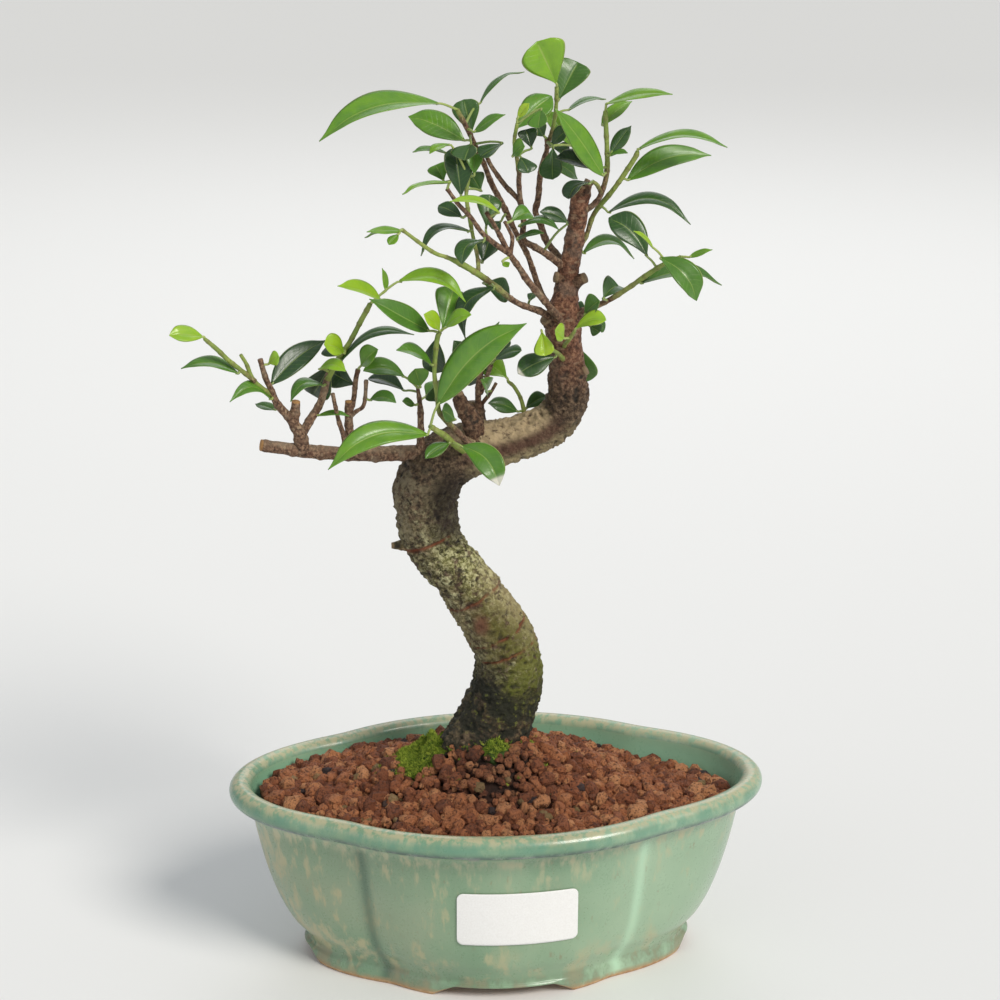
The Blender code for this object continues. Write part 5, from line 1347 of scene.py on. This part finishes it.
def cushion(patch, angle, share):
    # a ragged outline 1 + 0.16 sin(3a + 1) + 0.10 sin 7a under a clumped dome 1 - s^2.2
    cx, cy, halfX, halfY, height, _ = patch
    ragged = 1 + 0.16 * np.sin(3 * angle + 1) + 0.10 * np.sin(7 * angle)
    x = (cx + halfX * share * ragged * np.cos(angle)) * mm
    y = (cy + halfY * share * ragged * np.sin(angle)) * mm
    clumps = lattice(np.stack([x, y, 0 * x], -1), mossSpec["clump"], 5)
    z = soilHeight(x, y) + height * mm * (1 - share ** 2.2) * (0.62 + 0.76 * clumps)
    return np.stack([x, y, z], axis=-1)


def mossPlaces(rng):
    # random spots spread evenly over each cushion, and strays on the soil between them
    spots = []
    for patch in mossSpec["patches"]:
        count = patch[-1]
        angle, share = rng.uniform(0, turn, count), np.sqrt(rng.uniform(0, 1, count))
        spots.append(cushion(patch, angle, share) + (0, 0, mossSpec["lift"]))
    count = mossSpec["strays"]
    x = rng.normal(-14, 16, count) * mm
    y = rng.normal(-4, 9, count) * mm
    spots.append(np.stack([x, y, soilHeight(x, y) + 0.0022 + 0 * x], axis=1))
    return np.concatenate(spots)


def makeMoss():
    # each tuft is nine three-sided spikes leaning out of one spot
    rng = np.random.default_rng(mossSpec["seed"])
    p = mossPlaces(rng)
    n, blades = len(p), 9
    angle = rng.uniform(0, turn, (n, blades))
    lean = rng.uniform(0.1, 1.15, (n, blades))
    long = rng.uniform(*mossSpec["blade"], (n, blades))
    way = np.stack([np.sin(lean) * np.cos(angle), np.sin(lean) * np.sin(angle), np.cos(lean)], -1)
    flat = np.stack([-np.sin(angle), np.cos(angle), 0 * angle], -1)
    thin = 0.00017
    foot = p[:, None] + way * 0.0001
    corners = np.stack([foot - flat * thin, foot + flat * thin,
                        foot + np.cross(way, flat) * thin * 1.2, foot + way * long[..., None]], axis=2)
    faces = np.array([(0, 2, 1), (0, 1, 3), (1, 2, 3), (2, 0, 3)])
    allFaces = (faces[None] + (np.arange(n * blades) * 4)[:, None, None]).reshape(-1, 3)
    tip = np.tile([0.0, 0.0, 0.0, 1.0], n * blades)
    tone = np.repeat(rng.uniform(0, 1, n), blades * 4)
    moss = putMesh("mossTufts", corners.reshape(-1, 3) + potMiddle, allFaces, mossFinish(),
                   {"tip": tip, "tone": tone}, smooth=False)
    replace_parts(moss, *[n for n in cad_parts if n.startswith("moss")])
    return moss


def makeMossBase():
    # a lumpy dome under the tufts of each cushion
    parts = []
    angle = np.linspace(0, turn, 48, endpoint=False)[None]
    share = np.linspace(0.02, 1, 16)[:, None]
    for patch in mossSpec["patches"]:
        top = cushion(patch, angle, share)
        grid = np.concatenate([top, top[-1:] - (0, 0, 0.003)])
        zero = np.zeros(grid.shape[:2])
        # tip 0 gives the dome the painted shade of the blade roots
        points, faces, marks = tubePart(grid, {"tone": zero, "tip": zero})
        parts.append((points, faces[:, ::-1], marks))
    points, faces, marks = stack(parts)
    return putMesh("mossBase", points + potMiddle, faces, mossFinish(), marks)


def mossFinish():
    m = Finish("mossGreen", Roughness=0.85)
    tone, tip = m.attribute("tone"), m.attribute("tip")
    base = m.ramp(tone * 0.6 + m.noise(230, 3) * 0.4,
                  [(0.2, (0.060, 0.115, 0.006)), (0.45, (0.165, 0.260, 0.012)), (0.75, (0.50, 0.58, 0.07))])
    # painted shade: blades darker towards their roots, and the dome under them dark, for the shade among
    # the tufts
    base = m.mix(m.ease(tip, 0.75, 0.0) * 0.75, base, (0.018, 0.042, 0.004))
    return m.finish(Base_Color=base)


makeMoss()
makeMossBase()
print("moss planted")


labelSpec = {"size": (0.0480, 0.0232), "middle": (0.005, 0.0390), "corner": 0.0026,
             "off": 0.00045, "thick": 0.00022}


def makeLabel():
    # a rounded plate bent round the front lobe: the wall's own section, moved outwards
    wide, tall = labelSpec["size"]
    section = potSection()
    outer = section[:section[:, 1].argmax()]
    wall = outer[(outer[:, 1] > 0.012) & (outer[:, 1] < 0.062)]
    s = np.sin(np.linspace(-np.pi / 2, np.pi / 2, 90))[None]
    near = np.maximum(0, np.abs(s) * wide / 2 - (wide / 2 - labelSpec["corner"]))
    trim = labelSpec["corner"] - np.sqrt(np.maximum(0, labelSpec["corner"] ** 2 - near ** 2))
    v = np.linspace(-1, 1, 31)[:, None]

    def sheet(off, shrink):
        z = labelSpec["middle"][1] + v * (tall / 2 - trim - shrink)
        x = labelSpec["middle"][0] + s * (wide / 2 - shrink) + 0 * z
        inset = np.interp(z, wall[:, 1], wall[:, 0])
        inX, inY = drawnIn(inset, z)
        a, b = potSpec["frontLobes"][0] - inX, potSpec["frontLobes"][1] - inY
        points = np.stack([x, -b * np.sqrt(1 - (x / a) ** 2), z], axis=-1)
        r = np.hypot(points[..., 0], points[..., 1])
        grow = (r + wallWander(points) + off) / r
        return points * np.stack([grow, grow, 1 + 0 * grow], axis=-1)

    back, face = sheet(labelSpec["off"], 0.0), sheet(labelSpec["off"] + labelSpec["thick"], 0.00006)
    grid = np.concatenate([back, face[::-1]]).transpose(1, 0, 2)[::-1]
    points, faces, _ = tubePart(grid, {})
    label = putMesh("paperLabel", points.reshape(-1, 3) + potMiddle, faces[:, ::-1], labelFinish())
    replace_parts(label, "label")
    return label


def labelFinish():
    p = Finish("labelPaper", Coat_Roughness=0.3)
    fibre = p.noise(1400, 4, 0.6)
    base = p.ramp(fibre, [(0.3, (0.80, 0.79, 0.775)), (0.7, (0.87, 0.865, 0.855))])
    scuff = p.ease(p.noise(160, 4, 0.7, p.stretched((1, 1, 4))), 0.64, 0.74)
    base = p.mix(scuff * 0.18, base, (0.60, 0.58, 0.54))
    return p.finish(fibre * 0.3 + p.noise(90, 2) * 0.7, 0.0003, 0.3, Base_Color=base,
                    Roughness=p.ease(fibre, 0.3, 0.7, 0.42, 0.55))


def screenFinish():
    p = Finish("screenPlastic")
    weave = p.noise(1200, 3)
    base = p.ramp(weave, [(0.3, (0.012, 0.012, 0.012)), (0.7, (0.035, 0.035, 0.034))])
    return p.finish(weave, 0.0002, 0.4, Base_Color=base, Roughness=p.ease(weave, 0.3, 0.7, 0.38, 0.6))


makeLabel()
screenSkin = screenFinish()
for node in ("drain_screen_left", "drain_screen_right"):
    bpy.data.objects[node].material_slots[0].material = screenSkin
print("label and screens done")
